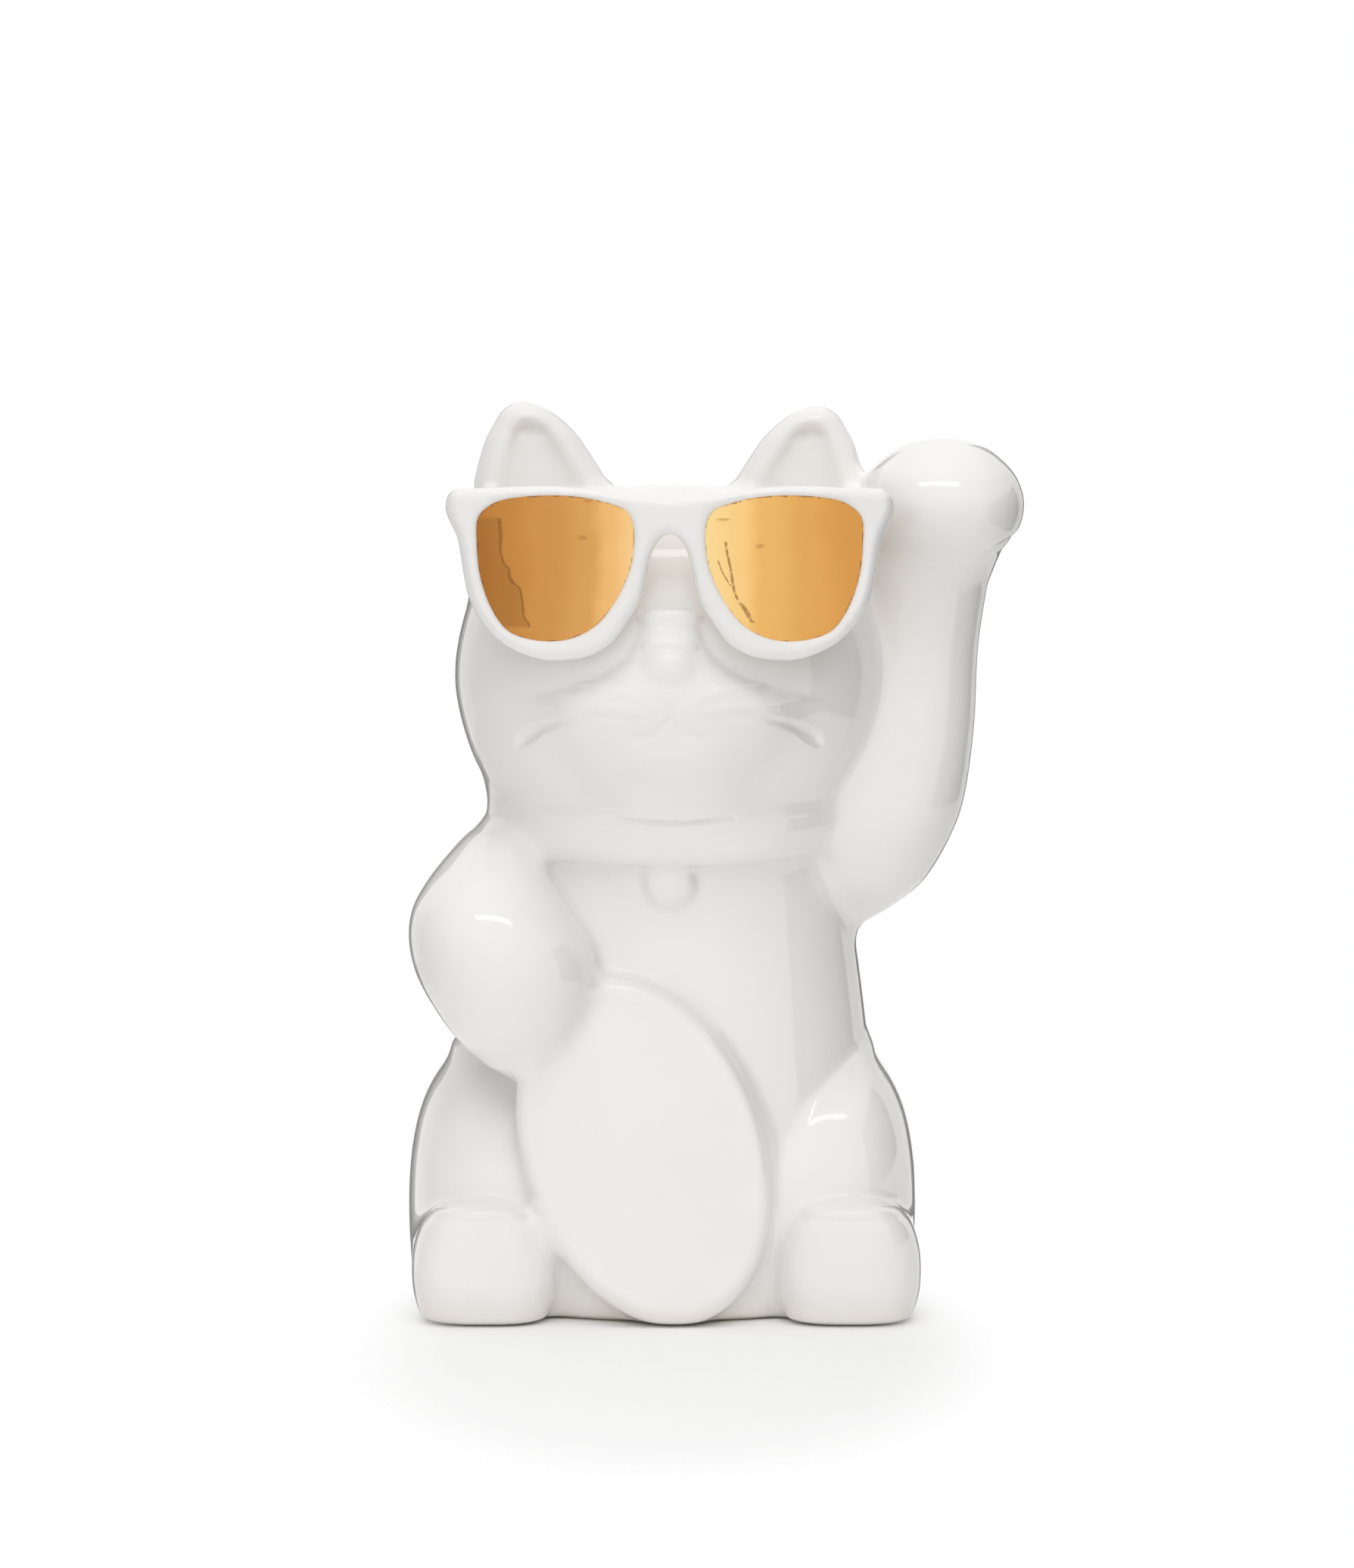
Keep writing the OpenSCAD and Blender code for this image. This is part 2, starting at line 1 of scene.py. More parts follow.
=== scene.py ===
"""The looks of the beckoning cat money bank: one thick white glaze over all its ceramic pieces,
gold lustre on its lenses, and a soft stopper in its base.

The ceramic pieces are signed-distance forms, in millimetres, in the part's own frame. They are run
together as glaze runs, with a small fillet in every joint, and each piece then takes its own share
of that one skin and closes itself under its neighbours.
"""
import math
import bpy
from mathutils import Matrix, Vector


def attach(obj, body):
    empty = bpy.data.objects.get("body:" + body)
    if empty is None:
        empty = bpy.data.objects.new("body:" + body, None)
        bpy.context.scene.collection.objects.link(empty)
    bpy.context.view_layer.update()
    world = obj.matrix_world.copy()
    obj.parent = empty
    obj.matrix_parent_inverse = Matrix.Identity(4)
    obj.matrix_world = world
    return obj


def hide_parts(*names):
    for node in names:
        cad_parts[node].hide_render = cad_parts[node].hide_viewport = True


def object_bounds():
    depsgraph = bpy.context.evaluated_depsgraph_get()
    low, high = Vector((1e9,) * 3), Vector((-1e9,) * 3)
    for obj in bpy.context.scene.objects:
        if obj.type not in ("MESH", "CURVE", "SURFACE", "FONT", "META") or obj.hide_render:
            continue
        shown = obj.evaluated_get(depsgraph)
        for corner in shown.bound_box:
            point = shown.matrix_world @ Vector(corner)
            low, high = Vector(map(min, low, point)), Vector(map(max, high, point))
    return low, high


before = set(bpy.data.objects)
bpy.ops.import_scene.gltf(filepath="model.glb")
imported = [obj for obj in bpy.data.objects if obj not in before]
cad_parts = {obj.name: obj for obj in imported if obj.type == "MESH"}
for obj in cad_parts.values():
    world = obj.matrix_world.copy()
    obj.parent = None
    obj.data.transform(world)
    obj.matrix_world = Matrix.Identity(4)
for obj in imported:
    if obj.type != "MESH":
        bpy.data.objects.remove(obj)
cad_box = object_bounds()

from concurrent.futures import ThreadPoolExecutor

import bpy
import numpy as np
from mathutils import Vector

MM = 0.001
BODY = "figure"
FAR = 1e3
CAD_BOX = np.array([list(corner) for corner in cad_box]) / MM

# ---------------------------------------------------------------------------------------------
# Forms. A loft is a table of level rings: [height, middle x, middle y, half width, half depth]
# ---------------------------------------------------------------------------------------------
ROUND, FULL, STOUT, BLOCKY = 2.0, 2.2, 2.5, 3.0
LEFT, RIGHT = -1, 1

NECK_Z = 113.5
HEAD_TOP = 192.8
HEAD_Y = -2.0
HEAD_RX, HEAD_RY = 50.7, 43.0
TORSO_RX, TORSO_RY = 49.0, 45.0
WALL = 4.5
FLOOR = 8.0
HOLE_R, RECESS_R, RECESS_H = 16.0, 22.0, 3.4

TORSO = [
    [0, 0, 0, 0.91 * TORSO_RX, 0.93 * TORSO_RY],
    [3, 0, 0, 0.95 * TORSO_RX, 0.97 * TORSO_RY],
    *([up * NECK_Z, 0, y, full_x * TORSO_RX, full_y * TORSO_RY] for up, y, full_x, full_y in (
        (0.14, 0, 0.99, 1), (0.34, 1, 1, 1), (0.54, 2, 0.96, 0.93), (0.76, 3, 0.895, 0.82),
        (0.9, 2, 0.83, 0.735))),
    [NECK_Z, 0, HEAD_Y, 0.68 * HEAD_RX, 0.68 * HEAD_RY],
    [NECK_Z + 9, 0, HEAD_Y, 20, 16],
    [NECK_Z + 12, 0, HEAD_Y, 0, 0],
]
HEAD_H = HEAD_TOP - NECK_Z
HEAD = [
    [NECK_Z - 12, 0, HEAD_Y, 0, 0],
    [NECK_Z - 9, 0, HEAD_Y, 18, 14],
    *([NECK_Z + up * HEAD_H, 0, HEAD_Y, full * HEAD_RX, full * HEAD_RY] for up, full in (
        (0, 0.68), (0.1, 0.834), (0.24, 0.942), (0.42, 1), (0.6, 0.962), (0.77, 0.855), (0.9, 0.67),
        (0.97, 0.44))),
    [HEAD_TOP, 0, HEAD_Y, 0, 0],
]
MUZZLE_Y = -36.0
MUZZLE = [[z, 0, MUZZLE_Y + back, rx, ry] for z, back, rx, ry in (
    (114.5, 6, 0, 0),
    (117, 3.4, 5, 3.2),
    (121, 1.2, 9.6, 5.2),
    (125, 0.2, 13.2, 6.9),
    (128, 0, 15.8, 8.3),
    (131, 0, 18.8, 10.2),
    (135, 0, 22.6, 12.6),
    (140, 0, 26.2, 14.6),
    (146, 0, 24.8, 15.6),
    (150, 0, 18, 14.6),
    (154, 0, 12.4, 13.3),
    (158, 0, 9.4, 11.9),
    (162, 0, 8.4, 10),
    (165, 0, 7.6, 7.8),
    (167, 0, 0, 0),
)]
RAISED_ARM = [
    [86.5, 41, 0, 0, 0],
    [89.5, 41.5, 0, 5, 7],
    [94, 43.6, 0, 10.4, 11.5],
    [100, 46, -2, 14.5, 15],
    [110, 48.3, -4, 17.9, 17],
    [120, 51.7, -4, 17.9, 17.5],
    [136, 56.2, -2, 15.6, 16],
    [154, 58.2, -1, 14.5, 14.5],
    [168, 60, -2, 14.6, 14.5],
    [178, 61.6, -4, 14.6, 14.5],
    [186, 63, -7, 0, 0],
]
RAISED_PAW = [
    [174, 64.5, -11, 0, 0],
    [176, 64.6, -11, 8.5, 8.5],
    [181, 64.8, -10.5, 15.7, 15.5],
    [188, 64.2, -9.5, 18.8, 19],
    [194.5, 63.7, -8, 17.8, 17.8],
    [199.5, 63.9, -7, 13.4, 13.5],
    [202.6, 64.2, -6.5, 8, 8.6],
    [203.9, 64.4, -6.5, 0, 0],
]
LOWER_ARM = [
    [56.8, -36.5, -35, 0, 0],
    [58.6, -36.3, -35, 5, 6],
    [61, -36.3, -35, 8.2, 9.5],
    [65.5, -35.8, -35, 13.4, 15],
    [71.5, -36.3, -34.5, 17.5, 19.5],
    [80, -37.6, -33, 21.1, 23.5],
    [88, -39.3, -31, 21.4, 25],
    [95, -41.3, -28.5, 18.8, 24],
    [101, -41.8, -25, 15.2, 21.5],
    [107, -41.5, -20, 10.7, 17],
    [112.7, -40, -15, 6.3, 10.5],
    [116, -39, -12, 0, 0],
]
HAUNCH_SHIFT = -1.8
HAUNCH = [
    [0, 37, -2, 20, 37],
    [4, 37.4, -2, 21.6, 39.5],
    [16, 37.7, -3, 22.2, 41],
    [28, 37.8, -3, 22.2, 40.6],
    [37, 38, -3, 21.2, 38.4],
    [45, 38.9, -3, 18.6, 34.2],
    [51.5, 40.3, -3, 14.5, 28.4],
    [57.5, 42, -2, 9, 20.5],
    [61.5, 44.4, -1, 5, 12],
    [63.5, 46, 0, 0, 0],
]
FOOT_SHIFT = -0.8
FOOT_X, FOOT_RX, FOOT_H = 42.3, 16.9, 30.5
FOOT = [[up * FOOT_H, FOOT_X, y, full * FOOT_RX, ry] for up, y, full, ry in (
    (0, -33, 0.8, 15.6),
    (0.065, -33, 0.91, 17.6),
    (0.26, -33, 1, 19.4),
    (0.5, -33, 1, 19.6),
    (0.69, -32.8, 0.92, 19.5),
    (0.81, -32.6, 0.8, 19),
    (0.92, -32.4, 0.56, 17),
    (1, -32.4, 0, 0),
)]
TAIL = [
    [6, 0, 44, 0, 0],
    [8.5, 0, 44.5, 5, 4.5],
    [16, 0, 45.5, 9, 7.5],
    [26, 0, 45.5, 9.6, 8.5],
    [36, 0, 44.5, 8.4, 8],
    [44, 0, 43, 5.4, 6],
    [47, 0, 42.5, 0, 0],
]
EAR_TOP = 212.2
EAR_Y = -2.0
EAR_RIM = 3.6
EAR_DROP = 1.0
EAR = [[EAR_TOP - down, x, EAR_Y + back, rx, ry] for down, x, back, rx, ry in (
    (60, 30, 0, 0, 0),
    (54, 30, 0, 10, 6),
    (44, 30, 0, 15.6, 9),
    (32, 30, 0, 16.3, 9),
    (20.7, 30, 1.5, 16.1, 8),
    (16.6, 30.8, 2, 14.8, 7.5),
    (9.5, 32.1, 3.1, 11.5, 6.1),
    (5.9, 32.7, 3.7, 9.1, 5.2),
    (2.4, 33.8, 4.2, 5.9, 3.9),
    (0.6, 34.6, 4.5, 2.6, 2.2),
    (0, 34.7, 4.6, 0, 0),
)]
EAR_DISH_Y = EAR_Y - 9.4
EAR_DISH = [[EAR_TOP - down, x, EAR_DISH_Y + back, max(rx - EAR_RIM, 0), ry] for down, x, back, rx, ry in (
    (36, 30, 0, 0, 0),
    (30, 30, 0, 16.2, 6),
    (20, 30.2, 1.5, 16, 6.8),
    (14, 31.2, 2.4, 13.6, 7.4),
    (9.5, 32.2, 3.1, 11.3, 7.6),
    (5.8, 33, 3.7, 8.2, 7.4),
    (3.6, 33.5, 4, 0, 0),
)]
COLLAR_Z, COLLAR_TILT = 116.3, math.radians(8.0)
COLLAR_RX, COLLAR_RY, COLLAR_H = 42.3, 36.5, 10.2
BELL_AT, BELL_R = (0, -31.4, 101.1), 5.7
NOSE_AT, NOSE_R = (0, -47.0, 152.4), (5.9, 4.7, 5.2)

PLATE_AT, PLATE_TILT, PLATE_RAKE = (-6.1, -42, 39.8), 18.9, 7.0
PLATE_RX, PLATE_RZ, PLATE_T = 28.0, 41.5, 11.0

FRAME_FRONT, FRAME_T, FRAME_WRAP = 52.0, 6.5, 240.0
LENS_INSET, LENS_T = 1.2, 3.5
LENS_OUTLINE = [
    [43.9, 187], [41, 190.1], [36.6, 191.6], [28, 192.3], [19.5, 191.8], [11.8, 189.9],
    [9.2, 187.8], [8.3, 183.8], [8.8, 177.7], [10.5, 172.5], [13.4, 167.2], [17, 162.9],
    [22, 160.1], [27.5, 159.2], [33.2, 159.9], [37.6, 162], [41.1, 167.2], [43.4, 174.2],
    [44.1, 181.2],
]
FRAME_OUTLINE = [
    [0, 192], [15, 193.6], [28, 194.6], [44.7, 193.9], [50, 193.1], [51.5, 189.7],
    [50.4, 186.1], [49.1, 183.4], [48.3, 180.3], [47.2, 173.3], [46, 168.4], [43.8, 164.2],
    [40.2, 160], [36, 157], [30, 154.9], [25, 154.6], [18.9, 155.5], [13.4, 158.6],
    [9.2, 164.2], [6.6, 169], [5.3, 174.2], [4.6, 177.7], [3.2, 181.2], [1.6, 183.1], [0, 183.6],
]
TEMPLE_FRONT, TEMPLE_BACK = (48, -42, 189.6), (41.5, -2, 189.6)
TEMPLE_T, TEMPLE_H = 3.6, 5.6


def between(a, b, c, d, t):
    """Point at t between b and c on a smooth curve through a, b, c and d."""
    return b + 0.5 * t * (c - a + t * (2 * a - 5 * b + 4 * c - d + t * (3 * b - 3 * c + d - a)))


def beyond(end, inner):
    """The row past an end of a table, so that a rounded end closes on its axis."""
    if end[3] > 0:
        return 2 * end - inner
    return np.array([inner[0], inner[1], inner[2], -inner[3], -inner[4]])


def curve(points, steps, closed):
    """Points on a smooth curve through points."""
    n = len(points)
    spans = n if closed else n - 1
    at = (lambda i: points[i % n]) if closed else (lambda i: points[min(max(i, 0), n - 1)])
    out = [between(at(i - 1), at(i), at(i + 1), at(i + 2), k / steps)
           for i in range(spans) for k in range(steps)]
    if not closed:
        out.append(points[-1])
    return np.array(out)


def run_together(a, b, reach):
    """Union of two fields with a fillet where they come within reach of each other."""
    h = np.maximum(reach - np.abs(a - b), 0)
    return np.minimum(a, b) - h * h * (0.25 / reach)


def cut(a, b, reach):
    """Field a with b taken out of it, and a rounded edge."""
    return -run_together(-a, b, reach)


def locally(field, low, high, x, y, z):
    """field inside the box from low to high, and FAR outside it, on a grid or at loose points."""
    if np.ndim(x) == 3:
        parts = [slice(*np.searchsorted(v.ravel(), (a, b))) for v, a, b in zip((x, y, z), low, high)]
        value = np.full(np.broadcast_shapes(x.shape, y.shape, z.shape), FAR)
        if all(p.stop > p.start for p in parts):
            i, j, k = parts
            value[i, j, k] = field(x[i], y[:, j], z[:, :, k])
        return value
    near = (x > low[0]) & (x < high[0]) & (y > low[1]) & (y < high[1]) & (z > low[2]) & (z < high[2])
    value = np.full(x.shape, FAR)
    if near.any():
        value[near] = field(x[near], y[near], z[near])
    return value


def nearby(form, margin, x, y, z):
    """A form's field inside its own box with a margin round it."""
    return locally(form, form.low - margin, form.high + margin, x, y, z)


def smooth_step(t):
    t = np.clip(t, 0, 1)
    return t * t * (3 - 2 * t)


class Loft:
    """A closed form through a table of level rings, each a superellipse of the given power."""

    # Steps between two rows, and levels in the table that is looked up
    CURVE_STEPS, LEVELS = 60, 900
    # Rings thinner than this take their proportions from the last one that isn't
    THINNEST = 0.2
    # Slopes of the middle and the proportions fade this near an end, and the table runs on past it
    END_FADE, RUN_ON = 2.5, 100.0

    def __init__(self, rows, power=ROUND, flip=1, shift=(0, 0, 0)):
        rows = np.array(rows, float)
        full = [beyond(rows[0], rows[1])] + list(rows) + [beyond(rows[-1], rows[-2])]
        dense = curve(np.array(full), self.CURVE_STEPS, False)[self.CURVE_STEPS:-self.CURVE_STEPS]
        z, cx, cy, rx, ry = dense.T
        rx, ry = np.maximum(rx, 0), np.maximum(ry, 0)
        small = np.minimum(rx, ry)
        ok = small > self.THINNEST
        where = np.arange(len(z))
        ax = np.interp(where, where[ok], (small[ok] / rx[ok]))
        ay = np.interp(where, where[ok], (small[ok] / ry[ok]))
        keep = np.concatenate([[True], np.diff(z) > 1e-6])
        z, cx, cy, ax, ay, s2 = (v[keep] for v in (z, cx, cy, ax, ay, small * small))
        grid = np.linspace(z[0], z[-1], self.LEVELS)
        table = np.array([np.interp(grid, z, v) for v in (cx, cy, ax, ay, s2)])
        slope = np.gradient(table, grid, axis=1)
        self.z = np.concatenate([[grid[0] - self.RUN_ON], grid, [grid[-1] + self.RUN_ON]])
        low, high = table[:, 0].copy(), table[:, -1].copy()
        low[4] -= self.RUN_ON * slope[4, 2]
        high[4] += self.RUN_ON * slope[4, -3]
        slope[:4] *= smooth_step(np.minimum(grid - grid[0], grid[-1] - grid) / self.END_FADE)
        self.table = np.concatenate([low[:, None], table, high[:, None]], axis=1)
        self.slope = np.concatenate([slope[:, :1], slope, slope[:, -1:]], axis=1)
        self.power, self.flip, self.shift = power, flip, shift
        xs = flip * (rows[:, 1] + np.array([[-1], [1]]) * rows[:, 3]) + shift[0]
        ys = rows[:, 2] + np.array([[-1], [1]]) * rows[:, 4] + shift[1]
        self.low = np.array([xs.min(), ys.min(), rows[0, 0] + shift[2]])
        self.high = np.array([xs.max(), ys.max(), rows[-1, 0] + shift[2]])

    def __call__(self, x, y, z):
        x = (x - self.shift[0]) * self.flip
        y, z = y - self.shift[1], z - self.shift[2]
        cx, cy, ax, ay, s2 = (np.interp(z, self.z, v) for v in self.table)
        dcx, dcy, dax, day, ds2 = (np.interp(z, self.z, v) for v in self.slope)
        px, py = np.abs(x - cx) + 1e-9, np.abs(y - cy) + 1e-9
        a, b, p = px * ax, py * ay, self.power
        if p == ROUND:
            q = a * a + b * b
            qx, qy = 2 * a, 2 * b
        else:
            ap, bp = a ** (p - 1), b ** (p - 1)
            total = a * ap + b * bp
            q = total ** (2 / p)
            k = 2 * q / total
            qx, qy = k * ap, k * bp
        gx, gy = qx * ax, qy * ay
        gz = -gx * np.sign(x - cx) * dcx - gy * np.sign(y - cy) * dcy + qx * px * dax + qy * py * day - ds2
        return (q - s2) / np.sqrt(gx * gx + gy * gy + gz * gz + 1e-6)


class Ball:
    """An ellipsoid."""

    def __init__(self, at, radii):
        self.at, self.radii = np.array(at, float), np.array(radii, float) * np.ones(3)
        self.low, self.high = self.at - self.radii, self.at + self.radii

    def __call__(self, x, y, z):
        rx, ry, rz = self.radii
        u, v, w = (x - self.at[0]) / rx, (y - self.at[1]) / ry, (z - self.at[2]) / rz
        q = u * u + v * v + w * w - 1
        g = 2 * np.sqrt((u / rx) ** 2 + (v / ry) ** 2 + (w / rz) ** 2 + 1e-9)
        return q / g


class Rope:
    """A tube of changing radius along a path: points [x, y, z, radius]."""

    def __init__(self, points, steps=6):
        self.points = curve(np.array(points, float), steps, False)
        r = self.points[:, 3:].max()
        self.low, self.high = self.points[:, :3].min(0) - r, self.points[:, :3].max(0) + r

    def __call__(self, x, y, z):
        best = FAR
        for a, b in zip(self.points[:-1], self.points[1:]):
            d = b[:3] - a[:3]
            t = np.clip(((x - a[0]) * d[0] + (y - a[1]) * d[1] + (z - a[2]) * d[2]) / (d @ d), 0, 1)
            gap = np.sqrt((x - a[0] - t * d[0]) ** 2 + (y - a[1] - t * d[1]) ** 2
                          + (z - a[2] - t * d[2]) ** 2)
            best = np.minimum(best, gap - (a[3] + t * (b[3] - a[3])))
        return best


class Outline:
    """Signed distance in x and height to a closed outline, below zero inside."""

    def __init__(self, points):
        self.points = points

    def __call__(self, x, z):
        x, z = np.broadcast_arrays(x, z)
        flat_x, flat_z = x.ravel(), z.ravel()
        near = np.full(flat_x.shape, FAR * FAR)
        inside = np.zeros(flat_x.shape, bool)
        a = self.points
        b = np.roll(a, -1, axis=0)
        for (ax, az), (bx, bz) in zip(a, b):
            dx, dz = bx - ax, bz - az
            t = np.clip(((flat_x - ax) * dx + (flat_z - az) * dz) / (dx * dx + dz * dz), 0, 1)
            near = np.minimum(near, (flat_x - ax - t * dx) ** 2 + (flat_z - az - t * dz) ** 2)
            crosses = (az > flat_z) != (bz > flat_z)
            if dz:
                inside ^= crosses & (flat_x < ax + (flat_z - az) * dx / dz)
        return (np.where(inside, -1, 1) * np.sqrt(near)).reshape(x.shape)


def depth_in_sheet(x, y):
    """How far behind the front of the wrapped sunglasses a point lies."""
    return FRAME_WRAP - np.sqrt(x * x + (y - FRAME_WRAP + FRAME_FRONT) ** 2)


half_frame = curve(np.array(FRAME_OUTLINE, float), 8, False)
frame_outline = Outline(np.concatenate([half_frame, half_frame[-2:0:-1] * [-1, 1]]))
lens_outline = Outline(curve(np.array(LENS_OUTLINE, float), 8, True))


class GlassesFront:
    """The sunglasses' front: a wrapped sheet with rounded edges and two openings."""
    low, high = np.array([-51.5, -52, 154.6]), np.array([51.5, -40, 194.6])
    outer_round, inner_round = 2.6, 1.6
    crown_h, crown_w = 0.35, 2.6

    def __call__(self, x, y, z):
        rim = frame_outline(x, z)
        opening = lens_outline(np.abs(x), z)
        s = depth_in_sheet(x, y)
        crown = self.crown_h * smooth_step((self.crown_w + np.maximum(rim, -opening)) / self.crown_w)
        slab = np.maximum(crown - s, s - FRAME_T)
        return cut(cut(slab, -rim, self.outer_round), opening, self.inner_round)


class Lens:
    """A lens: a wrapped sheet with rolled edges, a little fuller in its middle."""
    sunk, roll_h, roll_w, overlap = 0.1, 0.45, 1.8, 0.25
    dome_h, dome_x, dome_z, dome_rx, dome_rz = 0.35, 26, 176, 24, 22

    def __init__(self, side):
        self.side = side
        ends = 8.3 * side, 44.2 * side
        self.low = np.array([min(ends), -51.5, 159.2])
        self.high = np.array([max(ends), -42, 192.3])

    def __call__(self, x, y, z):
        edge = lens_outline(self.side * x, z)
        s = depth_in_sheet(x, y)
        bulge = self.roll_h * (1 - np.exp(np.minimum(edge, 0) / self.roll_w))
        middle = ((x - self.side * self.dome_x) / self.dome_rx) ** 2 + ((z - self.dome_z) / self.dome_rz) ** 2
        front = LENS_INSET + self.sunk - bulge - self.dome_h * np.maximum(1 - middle, 0)
        return np.maximum(np.maximum(front - s, s - LENS_INSET - LENS_T), edge - self.overlap)


class Plate:
    """The oval coin plate: rounded edges and a face that lies a little below its rim."""
    rim_h, rim_in, rim_w, edge_round = 0.45, 2.4, 3.6, 5.0
    reach = [32, 12, 43]

    def __init__(self):
        tilt, rake = math.radians(PLATE_TILT), math.radians(PLATE_RAKE)
        c, s = math.cos(tilt), math.sin(tilt)
        rx = np.array([[1, 0, 0], [0, math.cos(rake), math.sin(rake)],
                       [0, -math.sin(rake), math.cos(rake)]])
        ry = np.array([[c, 0, -s], [0, 1, 0], [s, 0, c]])
        self.turn = (rx @ ry).T
        self.low = np.array(PLATE_AT) - self.reach
        self.high = np.array(PLATE_AT) + self.reach

    def __call__(self, x, y, z):
        p = [x - PLATE_AT[0], y - PLATE_AT[1], z - PLATE_AT[2]]
        u, v, w = (row[0] * p[0] + row[1] * p[1] + row[2] * p[2] for row in self.turn)
        a, b = PLATE_RX, PLATE_RZ
        q = np.sqrt((u / a) ** 2 + (w / b) ** 2 + 1e-9)
        edge = (q - 1) * q / np.sqrt((u / a ** 2) ** 2 + (w / b ** 2) ** 2 + 1e-9)
        face = self.rim_h * smooth_step((-edge - self.rim_in) / self.rim_w)
        slab = np.maximum(-v - PLATE_T / 2 + face, v - PLATE_T / 2)
        return cut(slab, -edge, self.edge_round)


class Collar:
    """A band with rounded edges round the neck, tipped forward."""
    edge_round = 4.4

    def __init__(self):
        self.band = Loft([[z, 0, HEAD_Y, COLLAR_RX, COLLAR_RY] for z in (-20, 20)], FULL)
        self.low = np.array([-COLLAR_RX, HEAD_Y - COLLAR_RY - 0.5, COLLAR_Z - 10.6])
        self.high = np.array([COLLAR_RX, HEAD_Y + COLLAR_RY + 0.5, COLLAR_Z + 10.6])

    def __call__(self, x, y, z):
        c, s = math.cos(COLLAR_TILT), math.sin(COLLAR_TILT)
        y, z = c * y + s * (z - COLLAR_Z), c * (z - COLLAR_Z) - s * y
        return cut(self.band(x, y, z), COLLAR_H / 2 - np.abs(z), self.edge_round)


class Temple:
    """A side arm of the sunglasses: a straight bar with rounded edges."""
    edge_round = 1.2

    def __init__(self, side):
        a, b = np.array(TEMPLE_FRONT, float), np.array(TEMPLE_BACK, float)
        self.side, self.a, self.d = side, a, b - a
        ends = 40 * side, 50 * side
        self.low = np.array([min(ends), -42, 186.8])
        self.high = np.array([max(ends), 0, 192.4])

    def __call__(self, x, y, z):
        x = x * self.side
        t = np.clip((y - self.a[1]) / self.d[1], 0, 1)
        u = np.abs(x - self.a[0] - t * self.d[0]) - TEMPLE_T / 2 + self.edge_round
        w = np.abs(z - self.a[2]) - TEMPLE_H / 2 + self.edge_round
        v = np.maximum(self.a[1] - y, y - self.a[1] - self.d[1])
        bar = np.sqrt(np.maximum(u, 0) ** 2 + np.maximum(w, 0) ** 2) + np.minimum(np.maximum(u, w), 0)
        return np.maximum(bar - self.edge_round, v)


class Slot:
    """The coin slot, with round ends, through the back of the head."""
    middle_z, half_straight, radius, inner_y = 156, 15.5, 2.5, 27

    def __call__(self, x, y, z):
        aside = np.maximum(np.abs(x) - self.half_straight, 0)
        flat = np.sqrt(aside ** 2 + (z - self.middle_z) ** 2) - self.radius
        return np.maximum(flat, self.inner_y - y)


class Bore:
    """An upright round hole on the part's own axis."""

    def __init__(self, radius, top):
        self.radius, self.top = radius, top

    def __call__(self, x, y, z):
        return np.maximum(np.sqrt(x * x + y * y) - self.radius, z - self.top)


# ---------------------------------------------------------------------------------------------
# The pieces' own fields, before the glaze runs them together
# ---------------------------------------------------------------------------------------------
# How far fillets and rounded cuts reach
MUZZLE_FILLET, CREST_FILLET = 9.0, 0.9
CREST_FROM, CREST_OVER = 143.5, 5
CHIN_FILLET, NOSE_FILLET, RIDGE_FILLET, WHISKER_FILLET, PAW_FILLET = 5, 1.8, 1.0, 0.7, 5
GROOVE_ROUND, WRIST_ROUND, DISH_ROUND = 0.8, 2.0, 2.6
# Margins round the small forms, wider than what their fillets reach
NARROW, WIDE = 2, 3

torso = Loft(TORSO, FULL)
head_egg = Loft(HEAD, FULL)
muzzle = Loft(MUZZLE, STOUT)
nose = Ball(NOSE_AT, NOSE_R)
chin = Ball((0, -43.9, 132.2), (9.5, 4.0, 3.6))
raised_arm = Loft(RAISED_ARM, FULL)
raised_paw = Loft(RAISED_PAW, FULL)
ear_shift = {LEFT: (0, 0, 0), RIGHT: (0, 0, -EAR_DROP)}
ear = {side: Loft(EAR, flip=side, shift=shift) for side, shift in ear_shift.items()}
ear_dish = {side: Loft(EAR_DISH, flip=side, shift=shift) for side, shift in ear_shift.items()}


def plain_face(x, y, z):
    """The face without its lines. The muzzle's fillet is large only below its crest."""
    crest = smooth_step((z - CREST_FROM) / CREST_OVER)
    fillet = MUZZLE_FILLET - (MUZZLE_FILLET - CREST_FILLET) * crest
    face = run_together(head_egg(x, y, z), muzzle(x, y, z), fillet)
    face = run_together(face, chin(x, y, z), CHIN_FILLET)
    return run_together(face, nose(x, y, z), NOSE_FILLET)


def front_of(field, x, z, low=-60.0, high=-15.0):
    """Where the front of a field is, along the view from -Y."""
    y = np.linspace(low, high, 181)
    value = field(np.full_like(y, x), y, np.full_like(y, z))
    hit = int(np.argmax(value < 0))
    return y[hit - 1] + (y[hit] - y[hit - 1]) * value[hit - 1] / (value[hit - 1] - value[hit])


def on_face(points):
    """Points [x, height, radius, how far the middle stands out] set on the face."""
    return [[x, front_of(plain_face, x, z) - out, z, r] for x, z, r, out in points]


